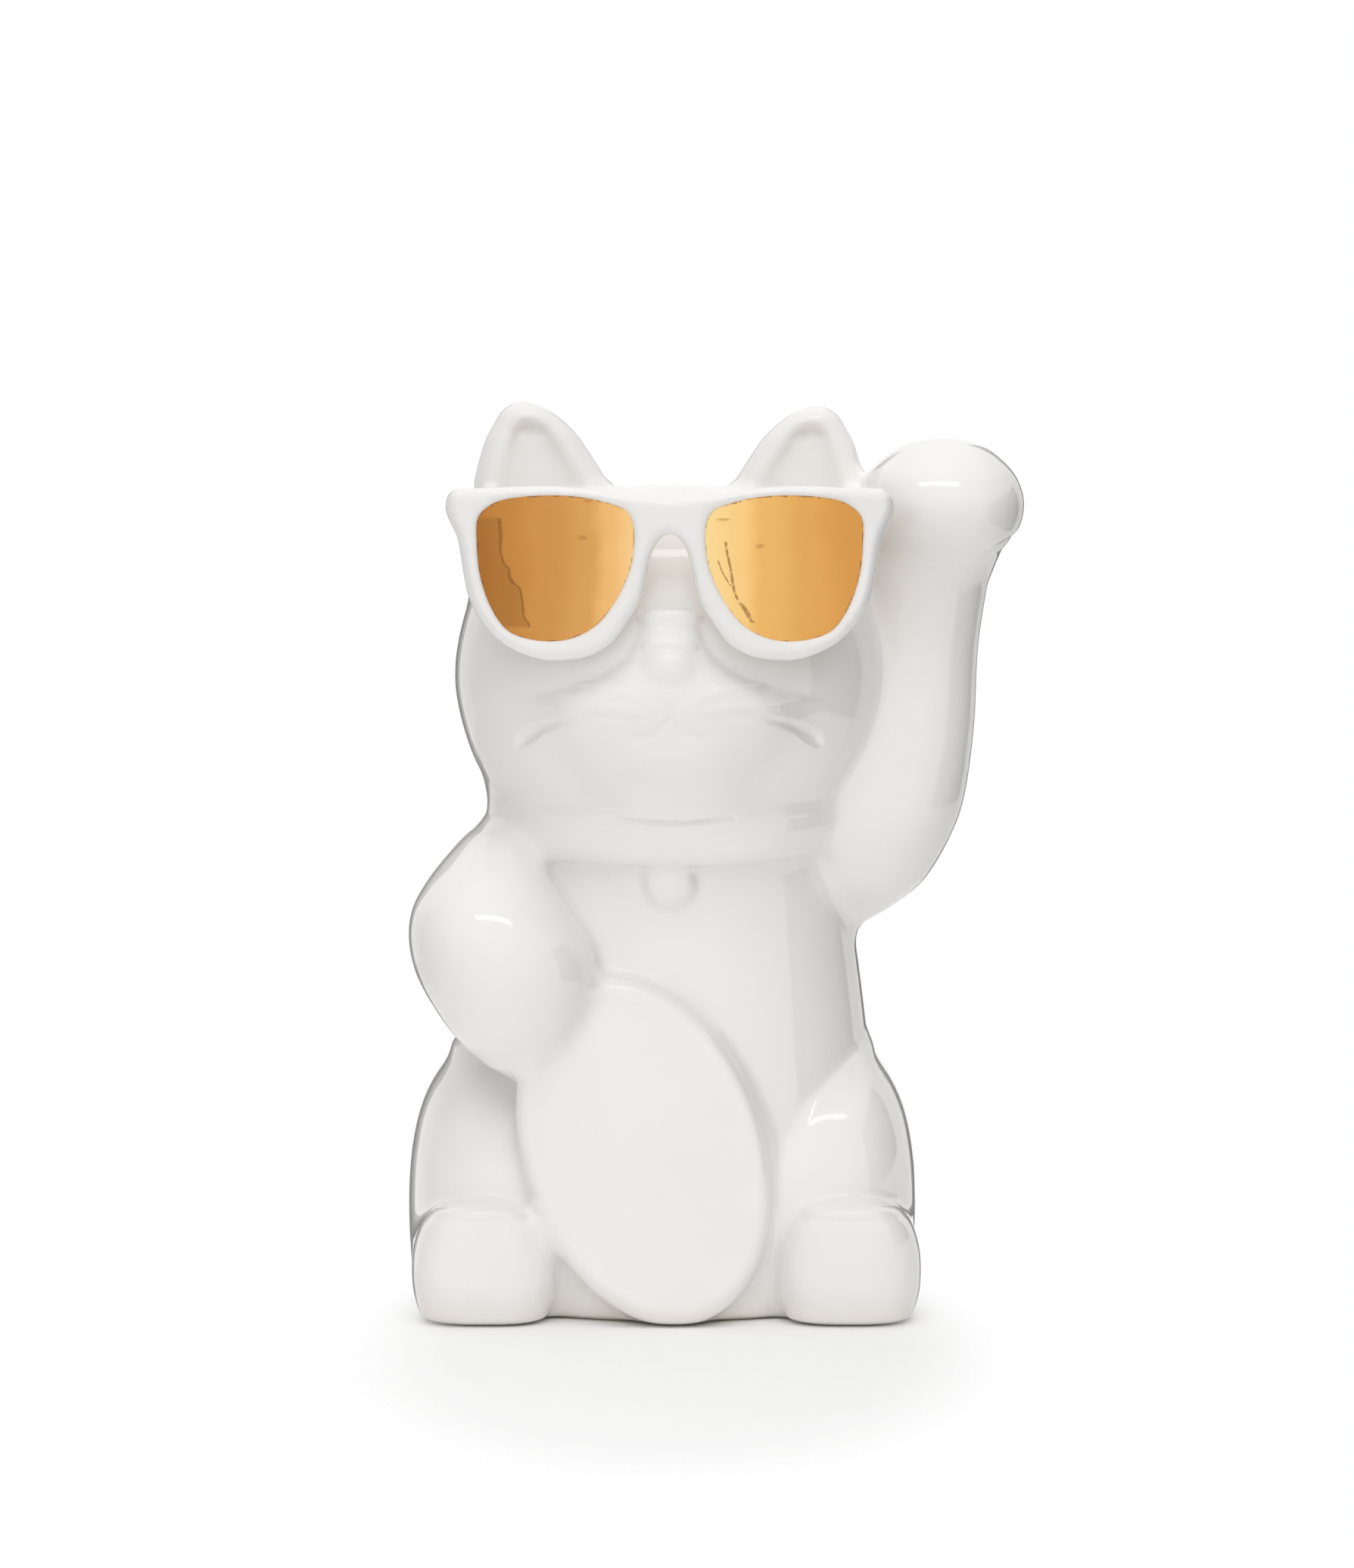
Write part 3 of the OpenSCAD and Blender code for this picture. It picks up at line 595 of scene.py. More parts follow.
GROOVES = [
    [[-35.4, 134.0, 0.9, 0.9], [-34.0, 135.4, 1.5, 0.3], [-31.8, 136.9, 1.5, 0.3], [-29.4, 138.5, 1.1, 0.6],
     [-25.1, 140.2, 0.8, 0.6], [-20, 141.2, 0.8, 0.75], [-15, 141.4, 0.8, 0.8], [-9.6, 140.8, 0.7, 0.8]],
    [[-4.6, 148.2, 0.7, 0.95], [-2.4, 145.3, 0.8, 0.95], [0, 143, 0.9, 0.85], [0, 140.4, 0.9, 0.85]],
    [[0, 140.6, 0.9, 0.85], [-3.4, 137.7, 0.9, 0.9], [-7.2, 136.6, 0.8, 0.85], [-9.6, 137.6, 0.5, 0.65]],
]
WHISKERS = [
    [[-3.4, 144.2, 0.8, -0.95], [-9.4, 146.6, 1.1, -1.2], [-15.6, 148.0, 1.1, -1.2],
     [-21.8, 148.2, 0.8, -1.0]],
    [[-5.6, 142.4, 0.8, -0.95], [-11.8, 143.6, 1.1, -1.2], [-18.2, 143.9, 1.0, -1.1],
     [-25, 143.4, 0.7, -0.9]],
]
# Low ridges across the bridge and the top of the nose
RIDGES = [
    [[-6.6, 163.9, 0.9, -0.6], [-3.4, 164.3, 1.6, -0.75], [3.4, 164.3, 1.6, -0.75], [6.6, 163.9, 0.9, -0.6]],
    [[-5.2, 157.6, 0.9, -0.6], [-2.6, 158.0, 1.6, -0.75], [2.6, 158.0, 1.6, -0.75], [5.2, 157.6, 0.9, -0.6]],
]


def both_sides(rows):
    return [rows, [[-r[0]] + r[1:] for r in rows]]


grooves = [Rope(on_face(rows)) for line in GROOVES for rows in both_sides(line)]
whiskers = [Rope(on_face(rows)) for line in WHISKERS for rows in both_sides(line)]
ridges = [Rope(on_face(rows)) for rows in RIDGES]


def face(x, y, z):
    value = plain_face(x, y, z)
    for ridge in ridges:
        value = run_together(value, nearby(ridge, WIDE, x, y, z), RIDGE_FILLET)
    for whisker in whiskers:
        value = run_together(value, nearby(whisker, NARROW, x, y, z), WHISKER_FILLET)
    for groove in grooves:
        value = cut(value, nearby(groove, NARROW, x, y, z), GROOVE_ROUND)
    return value


WRIST = Rope([[83, -8, 181.6, 1.4], [77.8, -18, 178.6, 1.3], [73.6, -21.5, 176.2, 1.0],
              [69.5, -22.6, 174.6, 0.4]])


def arm_with_paw(x, y, z):
    whole = run_together(raised_arm(x, y, z), raised_paw(x, y, z), PAW_FILLET)
    return cut(whole, nearby(WRIST, WIDE, x, y, z), WRIST_ROUND)


def dished_ear(side):
    def field(x, y, z):
        return cut(ear[side](x, y, z), ear_dish[side](x, y, z), DISH_ROUND)
    return field


class Piece:
    """A piece: its field, how far glaze fillets it, its grid's step, the pieces it sits on, its hollow
    and its material. Its box holds the forms given, or else the field's own."""

    def __init__(self, name, field, fillet, step, hosts=(), forms=None, hollow=None, slot="white_glaze"):
        self.name, self.field, self.fillet, self.step = name, field, fillet, step
        self.low = np.min([f.low for f in forms or [field]], axis=0)
        self.high = np.max([f.high for f in forms or [field]], axis=0)
        self.hosts, self.hollow, self.slot = hosts, hollow, slot


SIDES = LEFT, RIGHT
haunches = {side: Loft(HAUNCH, STOUT, flip=side, shift=(HAUNCH_SHIFT, 0, 0)) for side in SIDES}
feet = {side: Loft(FOOT, BLOCKY, flip=side, shift=(FOOT_SHIFT, 0, 0)) for side in SIDES}
tail = Loft(TAIL)
lower_arm = Loft(LOWER_ARM, FULL)
collar = Collar()
bell = Ball(BELL_AT, (BELL_R, 0.6 * BELL_R, BELL_R))
plate = Plate()
glasses = GlassesFront()
lenses = {side: Lens(side) for side in SIDES}
temples = {side: Temple(side) for side in SIDES}
coin_slot = Slot()
stopper_hole, stopper_recess = Bore(HOLE_R, FLOOR + 4), Bore(RECESS_R, RECESS_H)
# How far the hollows of torso and head run on past the neck
NECK_OVERLAP = 3

torso_hollow = Loft([[FLOOR, 0, 0, 38, 34.5], [FLOOR + 2.4, 0, 0, 42.2, 38.7]]
                    + [[z, cx, cy, rx - WALL, ry - WALL] for z, cx, cy, rx, ry in TORSO[2:8]]
                    + [[NECK_Z + 4, 0, HEAD_Y, 30.5, 25]], FULL)
squeeze = (HEAD_H - WALL) / HEAD_H
head_hollow = Loft([[NECK_Z - 4, 0, HEAD_Y, 29.5, 24.5]]
                   + [[NECK_Z + (z - NECK_Z) * squeeze, cx, cy, max(rx - WALL, 0), max(ry - WALL, 0)]
                      for z, cx, cy, rx, ry in HEAD[2:]], FULL)


def torso_inside(x, y, z):
    inside = np.maximum(torso_hollow(x, y, z), np.maximum(FLOOR - z, z - NECK_Z - NECK_OVERLAP))
    inside = np.minimum(inside, stopper_hole(x, y, z))
    return np.minimum(inside, stopper_recess(x, y, z))


def head_inside(x, y, z):
    inside = np.maximum(head_hollow(x, y, z), NECK_Z - NECK_OVERLAP - z)
    return np.minimum(inside, coin_slot(x, y, z))


L, R = LEFT, RIGHT
pieces = [
    Piece("torso_shell", torso, 0, 0.9, hollow=torso_inside),
    Piece("head_shell", face, 3.0, 0.7, forms=[head_egg, muzzle, nose], hollow=head_inside),
    Piece("raised_arm", arm_with_paw, 4.0, 0.9, ("torso_shell", "head_shell"), [raised_arm, raised_paw]),
    Piece("lower_arm", lower_arm, 4.0, 0.9, ("torso_shell",)),
    Piece("haunch_left", haunches[L], 4.0, 1.1, ("torso_shell",)),
    Piece("haunch_right", haunches[R], 2.0, 1.1, ("torso_shell",)),
    Piece("hind_foot_left", feet[L], 2.0, 0.9, ("torso_shell", "haunch_left")),
    Piece("hind_foot_right", feet[R], 2.0, 0.9, ("torso_shell", "haunch_right")),
    Piece("tail", tail, 4.0, 0.9, ("torso_shell",)),
    Piece("collar", collar, 6.0, 0.6, ("torso_shell", "head_shell", "raised_arm", "lower_arm")),
    Piece("bell", bell, 2.2, 0.5, ("torso_shell", "collar")),
    Piece("coin_plate", plate, 4.6, 0.8,
          ("torso_shell", "lower_arm", "haunch_left", "haunch_right", "hind_foot_left", "hind_foot_right")),
    Piece("ear_left", dished_ear(L), 4.0, 0.6, ("head_shell",), [ear[L]]),
    Piece("ear_right", dished_ear(R), 4.0, 0.6, ("head_shell", "raised_arm"), [ear[R]]),
    Piece("glasses_front", glasses, 2.0, 0.5, ("head_shell",)),
    Piece("temple_left", temples[L], 2.0, 0.6, ("head_shell", "ear_left", "glasses_front")),
    Piece("temple_right", temples[R], 2.4, 0.6, ("head_shell", "ear_right", "raised_arm", "glasses_front")),
    Piece("lens_left", lenses[L], 0, 0.5, slot="gold_lustre"),
    Piece("lens_right", lenses[R], 0, 0.5, slot="gold_lustre"),
]
ceramic = [p for p in pieces if p.slot == "white_glaze"]
# How far a piece closes itself under its neighbours, and how fast it sinks there
UNDERLAP, SINK = 2.5, 0.1
# How far off a piece still shapes the glaze of another
REACH = 7.0
FOOT_ROUND, CREASE_ROUND, HOLLOW_ROUND = 1.8, 0.9, 1.2
LEAST_FILLET = 1e-3
# The line where the chin hangs over the middle of the collar
CREASE = Rope([[-18, -36.6, 117.3, 0.1], [-11, -38.6, 116.8, 0.3], [-1, -39.6, 116.3, 0.45],
               [9, -38.8, 116.7, 0.3], [15, -37.2, 117.2, 0.1]])


def glazed(piece, low, high):
    """The field of a piece's share of the glazed figure, good inside the box from low to high."""
    near = [p for p in ceramic if (p.low - REACH < high).all() and (p.high + REACH > low).all()]

    def field(x, y, z):
        values = {p.name: locally(p.field, p.low - REACH, p.high + REACH, x, y, z) for p in near}
        whole = None
        for p in near:
            value = values[p.name]
            whole = value if whole is None else run_together(whole, value, max(p.fillet, LEAST_FILLET))
        whole = cut(whole, z, FOOT_ROUND)
        if (CREASE.low < high).all() and (CREASE.high > low).all():
            whole = cut(whole, nearby(CREASE, WIDE, x, y, z), CREASE_ROUND)
        own = values[piece.name]
        others = [v for name, v in values.items() if name != piece.name]
        if others:
            lost = np.maximum(own - np.minimum.reduce(others), 0)
            whole = whole + SINK * lost * lost
        hosts = [values[h] for h in piece.hosts if h in values]
        if hosts:
            whole = np.maximum(whole, -np.minimum.reduce(hosts) - UNDERLAP)
        if piece.hollow:
            whole = cut(whole, piece.hollow(x, y, z), HOLLOW_ROUND)
        return whole
    return field


# ---------------------------------------------------------------------------------------------
# Meshes
# ---------------------------------------------------------------------------------------------
def in_largest_part(faces, count):
    """Which points are on the largest connected skin, so that no loose crumb is kept."""
    label = np.arange(count)
    while True:
        lower = label.copy()
        np.minimum.at(lower, faces.ravel(), np.repeat(label[faces].min(1), faces.shape[1]))
        lower = lower[lower]
        if (lower == label).all():
            return label == np.bincount(label).argmax()
        label = lower


# In grid steps: the room round a form, how near zero a lone point is put, and a point's longest move
ROOM, LONE, LONGEST = 3, 0.01, 0.4
NEWTON_STEPS = 2


def surface(field, low, high, step):
    """Closed quad mesh of a field's zero, and its normals, both in millimetres."""
    low, high = low - ROOM * step, high + ROOM * step
    axes = [np.arange(a, b + step, step) for a, b in zip(low, high)]
    x, y, z = axes[0][:, None, None], axes[1][None, :, None], axes[2][None, None, :]
    value = np.broadcast_to(field(x, y, z), [len(a) for a in axes]).copy()
    for axis in range(3):
        edge = np.moveaxis(value, axis, 0)
        edge[0] = np.maximum(edge[0], step)
        edge[-1] = np.maximum(edge[-1], step)
    inside = value < 0
    joined = np.zeros_like(inside)
    for axis in range(3):
        here, beside = np.moveaxis(joined, axis, 0), np.moveaxis(inside, axis, 0)
        here[1:] |= beside[:-1]
        here[:-1] |= beside[1:]
    value[inside & ~joined] = LONE * step
    inside &= joined
    cells = tuple(n - 1 for n in value.shape)
    size = int(np.prod(cells))
    total, count = np.zeros((size, 3)), np.zeros(size)
    flips = []
    for axis in range(3):
        a = np.moveaxis(value, axis, 0)
        flip = np.moveaxis(np.moveaxis(inside, axis, 0)[1:] != np.moveaxis(inside, axis, 0)[:-1], 0, axis)
        at = np.argwhere(flip)
        step_on = np.eye(3, dtype=int)[axis]
        v0 = value[tuple(at.T)]
        v1 = value[tuple((at + step_on).T)]
        point = at + step_on * (v0 / (v0 - v1))[:, None]
        p, q = [i for i in range(3) if i != axis]
        for dp in (0, 1):
            for dq in (0, 1):
                cell = at.copy()
                cell[:, p] -= dp
                cell[:, q] -= dq
                ok = ((cell >= 0) & (cell < cells)).all(1)
                index = np.ravel_multi_index(tuple(cell[ok].T), cells)
                count += np.bincount(index, minlength=size)
                for i in range(3):
                    total[:, i] += np.bincount(index, point[ok, i], size)
        flips.append((at, v0 < 0))
    used = count > 0
    number = np.full(size, -1)
    number[used] = np.arange(used.sum())
    points = total[used] / count[used, None] * step + low
    faces = []
    for axis, (at, outward) in enumerate(flips):
        p, q = (axis + 1) % 3, (axis + 2) % 3
        corner = []
        for dp, dq in ((1, 1), (0, 1), (0, 0), (1, 0)):
            cell = at.copy()
            cell[:, p] -= dp
            cell[:, q] -= dq
            corner.append(number[np.ravel_multi_index(tuple(cell.T), cells)])
        quad = np.stack(corner, 1)
        quad[~outward] = quad[~outward][:, ::-1]
        faces.append(quad)
    faces = np.concatenate(faces)
    kept = in_largest_part(faces, len(points))
    faces = (np.cumsum(kept) - 1)[faces[kept[faces[:, 0]]]]
    points = points[kept]
    for _ in range(NEWTON_STEPS):
        value, slope = gradient(field, points)
        size = (slope * slope).sum(1) + 1e-9
        points = points - slope * np.clip(value / size, -LONGEST * step, LONGEST * step)[:, None]
    points = np.clip(points, *CAD_BOX)
    _, slope = gradient(field, points)
    return points, faces, slope / np.sqrt((slope * slope).sum(1) + 1e-12)[:, None]


def gradient(field, points, h=0.05):
    x, y, z = points.T
    value = field(x, y, z)
    slope = np.stack([field(x + h, y, z) - value, field(x, y + h, z) - value, field(x, y, z + h) - value], 1)
    return value, slope / h


def mesh_object(name, points, faces, normals):
    mesh = bpy.data.meshes.new(name)
    mesh.vertices.add(len(points))
    mesh.vertices.foreach_set("co", (points * MM).astype(np.float32).ravel())
    mesh.loops.add(faces.size)
    mesh.loops.foreach_set("vertex_index", faces.astype(np.int32).ravel())
    mesh.polygons.add(len(faces))
    mesh.polygons.foreach_set("loop_start", np.arange(0, faces.size, 4, dtype=np.int32))
    mesh.polygons.foreach_set("use_smooth", np.ones(len(faces), bool))
    mesh.update(calc_edges=True)
    mesh.validate()
    mesh.normals_split_custom_set_from_vertices(normals.astype(np.float32))
    obj = bpy.data.objects.new(name, mesh)
    bpy.context.scene.collection.objects.link(obj)
    return obj


# ---------------------------------------------------------------------------------------------
# Materials. Object coordinates are the part's own, in metres, because no piece is moved
# ---------------------------------------------------------------------------------------------
class Nodes:
    """Short ways to add and join the nodes of one material or world."""

    def __init__(self, owner):
        owner.use_nodes = True
        self.owner, self.tree = owner, owner.node_tree
        self.tree.nodes.clear()
        self.coordinates = self.add("ShaderNodeTexCoord").outputs
        self.place = self.coordinates["Object"]

    def add(self, kind, inputs=(), **settings):
        node = self.tree.nodes.new(kind)
        for key, value in settings.items():
            setattr(node, key, value)
        for key, value in dict(inputs).items():
            if hasattr(value, "is_output"):
                self.tree.links.new(value, node.inputs[key])
            else:
                node.inputs[key].default_value = value
        return node

    def noise(self, scale, detail=2.0, rough=0.5):
        return self.add("ShaderNodeTexNoise", {"Vector": self.place, "Scale": scale, "Detail": detail,
                                               "Roughness": rough}).outputs["Fac"]

    def math(self, operation, a, b=0.0, c=0.0):
        return self.add("ShaderNodeMath", {0: a, 1: b, 2: c}, operation=operation).outputs[0]

    def plus(self, a, b):
        return self.math("ADD", a, b)

    def minus(self, a, b):
        return self.math("SUBTRACT", a, b)

    def times(self, a, b):
        return self.math("MULTIPLY", a, b)

    def vector(self, operation, a, b=(0, 0, 0), out="Vector"):
        return self.add("ShaderNodeVectorMath", {0: a, 1: b}, operation=operation).outputs[out]

    def apart(self, a, b):
        """How far apart two numbers are."""
        return self.math("ABSOLUTE", self.minus(a, b))

    def length(self, a, b):
        return self.math("SQRT", self.plus(self.times(a, a), self.times(b, b)))

    def share(self, value, low, high):
        """How far value is from low to high, 0 to 1."""
        return self.add("ShaderNodeMapRange", {"Value": value, "From Min": low,
                                               "From Max": high}).outputs["Result"]

    def ramp(self, value, low, high, out_low=0.0, out_high=1.0):
        """A smooth step from out_low to out_high while value goes from low to high."""
        node = self.add("ShaderNodeMapRange", {"Value": value, "From Min": low, "From Max": high,
                                               "To Min": out_low, "To Max": out_high},
                        interpolation_type="SMOOTHSTEP")
        return node.outputs["Result"]

    def mix(self, factor, a, b):
        node = self.add("ShaderNodeMix", {"Factor": factor, 6: a, 7: b}, data_type="RGBA")
        return node.outputs[2]

    def mix_shaders(self, factor, a, b):
        return self.add("ShaderNodeMixShader", {0: factor, 1: a, 2: b}).outputs[0]

    def diffuse(self, colour):
        return self.add("ShaderNodeBsdfDiffuse", {"Color": colour}).outputs[0]

    def clear(self):
        return self.add("ShaderNodeBsdfTransparent", {"Color": (1, 1, 1, 1)}).outputs[0]

    def seen(self):
        """1 for the rays that show things: from the camera, in reflections and through glass."""
        path = self.add("ShaderNodeLightPath").outputs
        return self.math("MAXIMUM", self.math("MAXIMUM", path["Is Camera Ray"], path["Is Glossy Ray"]),
                         path["Is Transmission Ray"])

    def colours(self, value, low, high, stops):
        """Colour along value, from stops [mm, colour]."""
        node = self.add("ShaderNodeValToRGB", {"Fac": self.share(value, low, high)})
        ramp = node.color_ramp
        ramp.interpolation = "EASE"
        while len(ramp.elements) < len(stops):
            ramp.elements.new(0.5)
        for element, (at, colour) in zip(ramp.elements, stops):
            element.position = (at * MM - low) / (high - low)
            element.color = colour
        return node.outputs["Color"]

    def follow(self, value, points):
        """A smooth curve through points [value, out], in mm."""
        (low, high), (least, most) = [(min(column), max(column)) for column in zip(*points)]
        node = self.add("ShaderNodeFloatCurve", {"Value": self.share(value, low * MM, high * MM)})
        line = node.mapping.curves[0]
        while len(line.points) < len(points):
            line.points.new(0.5, 0.5)
        for point, (at, out) in zip(line.points, points):
            point.location = ((at - low) / (high - low), (out - least) / (most - least))
        node.mapping.update()
        return self.add("ShaderNodeMapRange", {"Value": node.outputs["Value"], "To Min": least * MM,
                                               "To Max": most * MM}).outputs["Result"]

    def axes(self):
        return self.add("ShaderNodeSeparateXYZ", {"Vector": self.place}).outputs

    def bump(self, height, distance):
        return self.add("ShaderNodeBump", {"Height": height, "Distance": distance,
                                           "Strength": 1.0}).outputs["Normal"]

    def finish(self, shader):
        self.add("ShaderNodeOutputMaterial", {"Surface": shader})
        return self.owner


def new_material(name):
    return Nodes(bpy.data.materials.new(name))


def rgb(r, g, b):
    """Linear colour from display values, 0 to 255."""
    return tuple((v / 12.92 if v <= 0.04045 else ((v + 0.055) / 1.055) ** 2.4)
                 for v in (r / 255, g / 255, b / 255)) + (1.0,)


def white_glaze():
    n = new_material("white_glaze")
    colour = n.mix(n.ramp(n.noise(22, 3), 0.35, 0.7), rgb(246, 245, 243), rgb(243, 242, 239))
    # Painted warm shade and floor bounce: the glaze turns warmer and a little darker towards the floor
    painted_foot_shade = n.ramp(n.plus(n.axes()["Z"], n.times(n.noise(60, 2), 0.008)), 0.003, 0.016, 1.0, 0.0)
    colour = n.mix(n.times(painted_foot_shade, 0.55), colour, rgb(240, 232, 220))
    # A few pinholes
    speck = n.add("ShaderNodeTexVoronoi", {"Vector": n.place, "Scale": 55.0, "Randomness": 1.0},
                  feature="F1").outputs["Distance"]
    pin = n.times(n.ramp(speck, 0.012, 0.022, 1.0, 0.0), n.ramp(n.noise(17, 1), 0.62, 0.66))
    colour = n.mix(n.times(pin, 0.5), colour, rgb(150, 146, 140))
    height = n.plus(n.noise(38, 2, 0.4), n.times(n.noise(420, 2, 0.5), 0.02))
    height = n.minus(height, n.times(pin, 0.3))
    shader = n.add("ShaderNodeBsdfPrincipled", {"Base Color": colour, "IOR": 1.52,
                                                "Roughness": n.ramp(n.noise(9, 2), 0.3, 0.75, 0.045, 0.085),
                                                "Normal": n.bump(height, 0.00035)})
    return n.finish(shader.outputs[0])


# Marks in the lustre, as [height, x] in mm, and smudges as a place and their half sizes
RUN_LINE = [(161.7, -33.1), (162.6, -32.2), (164.9, -33.6), (167.7, -33.5), (170.5, -34.1), (172.9, -36.3),
            (175.3, -36.9), (178.1, -38.6), (182.2, -38.8), (185.7, -38.9), (187.6, -40.2)]
STREAKS = [
    ([(163.2, 19.1), (165.3, 17.9), (168.4, 15.9)], 0.0008),
    ([(168.2, 15.9), (171.1, 14.7), (175.3, 14.0), (182.4, 12.6)], 0.00045),
    ([(171.6, 14.2), (173.9, 12.7), (178.1, 10.9)], 0.0003),
]
SMUDGES = [((-20, -51, 182.9), (2.0, 9, 0.8)), ((-18.8, -51, 191.3), (1.6, 9, 0.4)),
           ((12.2, -51, 187.1), (2.3, 9, 0.5)), ((20.6, -51, 181), (1.6, 9, 0.8))]
# The lustre's colour across both lenses with painted reflection in it, lighter towards the middle and darker
# at the outer sides, as x in mm and red, green and blue
LUSTRE_AND_PAINTED_REFLECTION = [(-44, 186, 122, 60), (-38, 196, 134, 68), (-28, 208, 149, 80), (-19, 219, 162, 92),
          (-15, 240, 186, 116), (-9, 249, 204, 138), (9, 252, 218, 150), (16, 250, 206, 134),
          (21, 238, 184, 106), (32, 226, 168, 92), (42, 216, 154, 80)]


def gold_lustre():
    n = new_material("gold_lustre")
    x, _, z = n.axes()
    wander = n.times(n.minus(n.noise(260, 3, 0.6), 0.5), 0.0022)
    across = n.plus(x, n.times(n.minus(n.noise(45, 3, 0.6), 0.5), 0.008))
    # Painted reflection: the gold is lighter and darker across the lenses as a mirror of the studio
    colour = n.colours(across, -0.045, 0.045, [(at, rgb(*shade)) for at, *shade in LUSTRE_AND_PAINTED_REFLECTION])
    # A pool of thicker lustre at the outer side of one lens, with the line where it ran
    run = n.plus(n.follow(z, RUN_LINE), wander)
    inside = n.times(n.ramp(z, 0.1618, 0.1628), n.ramp(z, 0.1866, 0.1880, 1.0, 0.0))
    pool = n.times(n.ramp(n.minus(x, run), -0.0009, 0.0002, 1.0, 0.0), inside)
    colour = n.mix(n.times(pool, 0.42), colour, rgb(150, 94, 42))
    line = n.ramp(n.apart(x, run), 0.0001, 0.0006, 1.0, 0.0)
    colour = n.mix(n.times(n.times(line, inside), 0.62), colour, rgb(126, 80, 36))
    # Worn streaks and smudges
    patchy = n.ramp(n.noise(900, 3, 0.7), 0.36, 0.5)
    for path, wide in STREAKS:
        centre = n.plus(n.follow(z, path), n.times(wander, 0.35))
        thin = n.ramp(n.apart(x, centre), 0.35 * wide, wide, 1.0, 0.0)
        ends = n.times(n.ramp(z, path[0][0] * MM, (path[0][0] + 0.6) * MM),
                      n.ramp(z, (path[-1][0] - 0.8) * MM, path[-1][0] * MM, 1.0, 0.0))
        mark = n.times(n.times(thin, ends), patchy)
        colour = n.mix(n.times(mark, 0.75), colour, rgb(140, 98, 48))
    for at, size in SMUDGES:
        far = n.vector("SUBTRACT", n.place, [v * MM for v in at])
        far = n.vector("MULTIPLY", far, [1 / (v * MM) for v in size])
        far = n.vector("LENGTH", far, out="Value")
        mark = n.times(n.ramp(far, 0.3, 1.0, 1.0, 0.0), patchy)
        colour = n.mix(n.times(mark, 0.4), colour, rgb(150, 98, 46))
    rough = n.ramp(n.noise(140, 4, 0.6), 0.3, 0.7, 0.13, 0.2)
    shader = n.add("ShaderNodeBsdfPrincipled", {"Base Color": colour, "Roughness": rough, "Metallic": 1.0,
                                                "Normal": n.bump(n.noise(70, 3), 0.0002)})
    return n.finish(shader.outputs[0])


def stopper_vinyl():
    n = new_material("stopper_vinyl")
    colour = n.mix(n.ramp(n.noise(90, 3), 0.35, 0.7), rgb(224, 223, 218), rgb(214, 213, 207))
    grain = n.noise(1400, 2)
    shader = n.add("ShaderNodeBsdfPrincipled", {"Base Color": colour, "IOR": 1.5,
                                                "Roughness": n.ramp(grain, 0.3, 0.7, 0.38, 0.5),
                                                "Normal": n.bump(grain, 0.00006)})
    return n.finish(shader.outputs[0])


materials = {"white_glaze": white_glaze(), "gold_lustre": gold_lustre(), "stopper_vinyl": stopper_vinyl()}

# ---------------------------------------------------------------------------------------------
# Pieces
# ---------------------------------------------------------------------------------------------
def piece_surface(piece):
    field = piece.field if piece.slot == "gold_lustre" else glazed(piece, piece.low, piece.high)
    return surface(field, piece.low, piece.high, piece.step)


with ThreadPoolExecutor(4) as pool:
    surfaces = list(pool.map(piece_surface, pieces))

for piece, skin in zip(pieces, surfaces):
    obj = mesh_object(piece.name + "_glazed", *skin)
    obj.data.materials.append(materials[piece.slot])
    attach(obj, BODY)
    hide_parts(piece.name)

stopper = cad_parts["base_stopper"]
for slot in stopper.material_slots:
    slot.material = materials["stopper_vinyl"]

# ---------------------------------------------------------------------------------------------
# Studio, in metres: a white floor that holds the shadow, two lamps, and black flags that edge the
# glaze. The world is its soft light
# ---------------------------------------------------------------------------------------------
CAMERA_AT = Vector((0, -1.6922, 0.2709))
CAMERA_TIP = math.radians(84.5)
PICTURE_H = 2072
FOCAL_PX = 9486
SHIFT_PX = 9.5, 77.5
SENSOR = 36.0


def area_light(name, at, aim, size, watts):
    data = bpy.data.lights.new(name, "AREA")
    data.shape = "RECTANGLE"
    data.size, data.size_y = size
    data.energy = watts
    obj = bpy.data.objects.new(name, data)
    obj.location = at
    obj.rotation_euler = (Vector(aim) - Vector(at)).to_track_quat("-Z", "Y").to_euler()
    bpy.context.scene.collection.objects.link(obj)


def studio_plane(name, corners, material):
    mesh = bpy.data.meshes.new(name)
    mesh.from_pydata([Vector(c) for c in corners], [], [(0, 1, 2, 3)])
    obj = bpy.data.objects.new(name, mesh)
    bpy.context.scene.collection.objects.link(obj)
    obj.data.materials.append(material)


# The oval outside which the floor is clear, and the shares of it between which it fades
FADE_X, FADE_Y, FADE_MIDDLE_Y = 0.08, 0.17, -0.085
FADE_FROM, FADE_TO = 0.6, 1.0


def white_floor():
    """White, and clear from below and outside an oval round the figure, so that only its shadow is seen."""
    n = new_material("floor")
    x, y, _ = n.axes()
    distance = n.length(n.math("DIVIDE", x, FADE_X), n.math("DIVIDE", n.minus(y, FADE_MIDDLE_Y), FADE_Y))
    below = n.add("ShaderNodeNewGeometry").outputs["Backfacing"]
    fade = n.times(n.math("MAXIMUM", n.ramp(distance, FADE_FROM, FADE_TO), below), n.seen())
    # Painted warm shade on the floor where the figure stands, seen in the glaze near its base
    painted_warm_shade = n.ramp(n.length(x, y), 0.036, 0.046)
    white = n.diffuse(n.mix(painted_warm_shade, rgb(244, 224, 196), rgb(253, 253, 253)))
    return n.finish(n.mix_shaders(fade, white, n.clear()))


def flag_black():
    """Black cloth that the glaze reflects and the camera sees past, from any side."""
    n = new_material("flag")
    from_camera = n.add("ShaderNodeLightPath").outputs["Is Camera Ray"]
    return n.finish(n.mix_shaders(from_camera, n.diffuse((0.03, 0.03, 0.03, 1)), n.clear()))


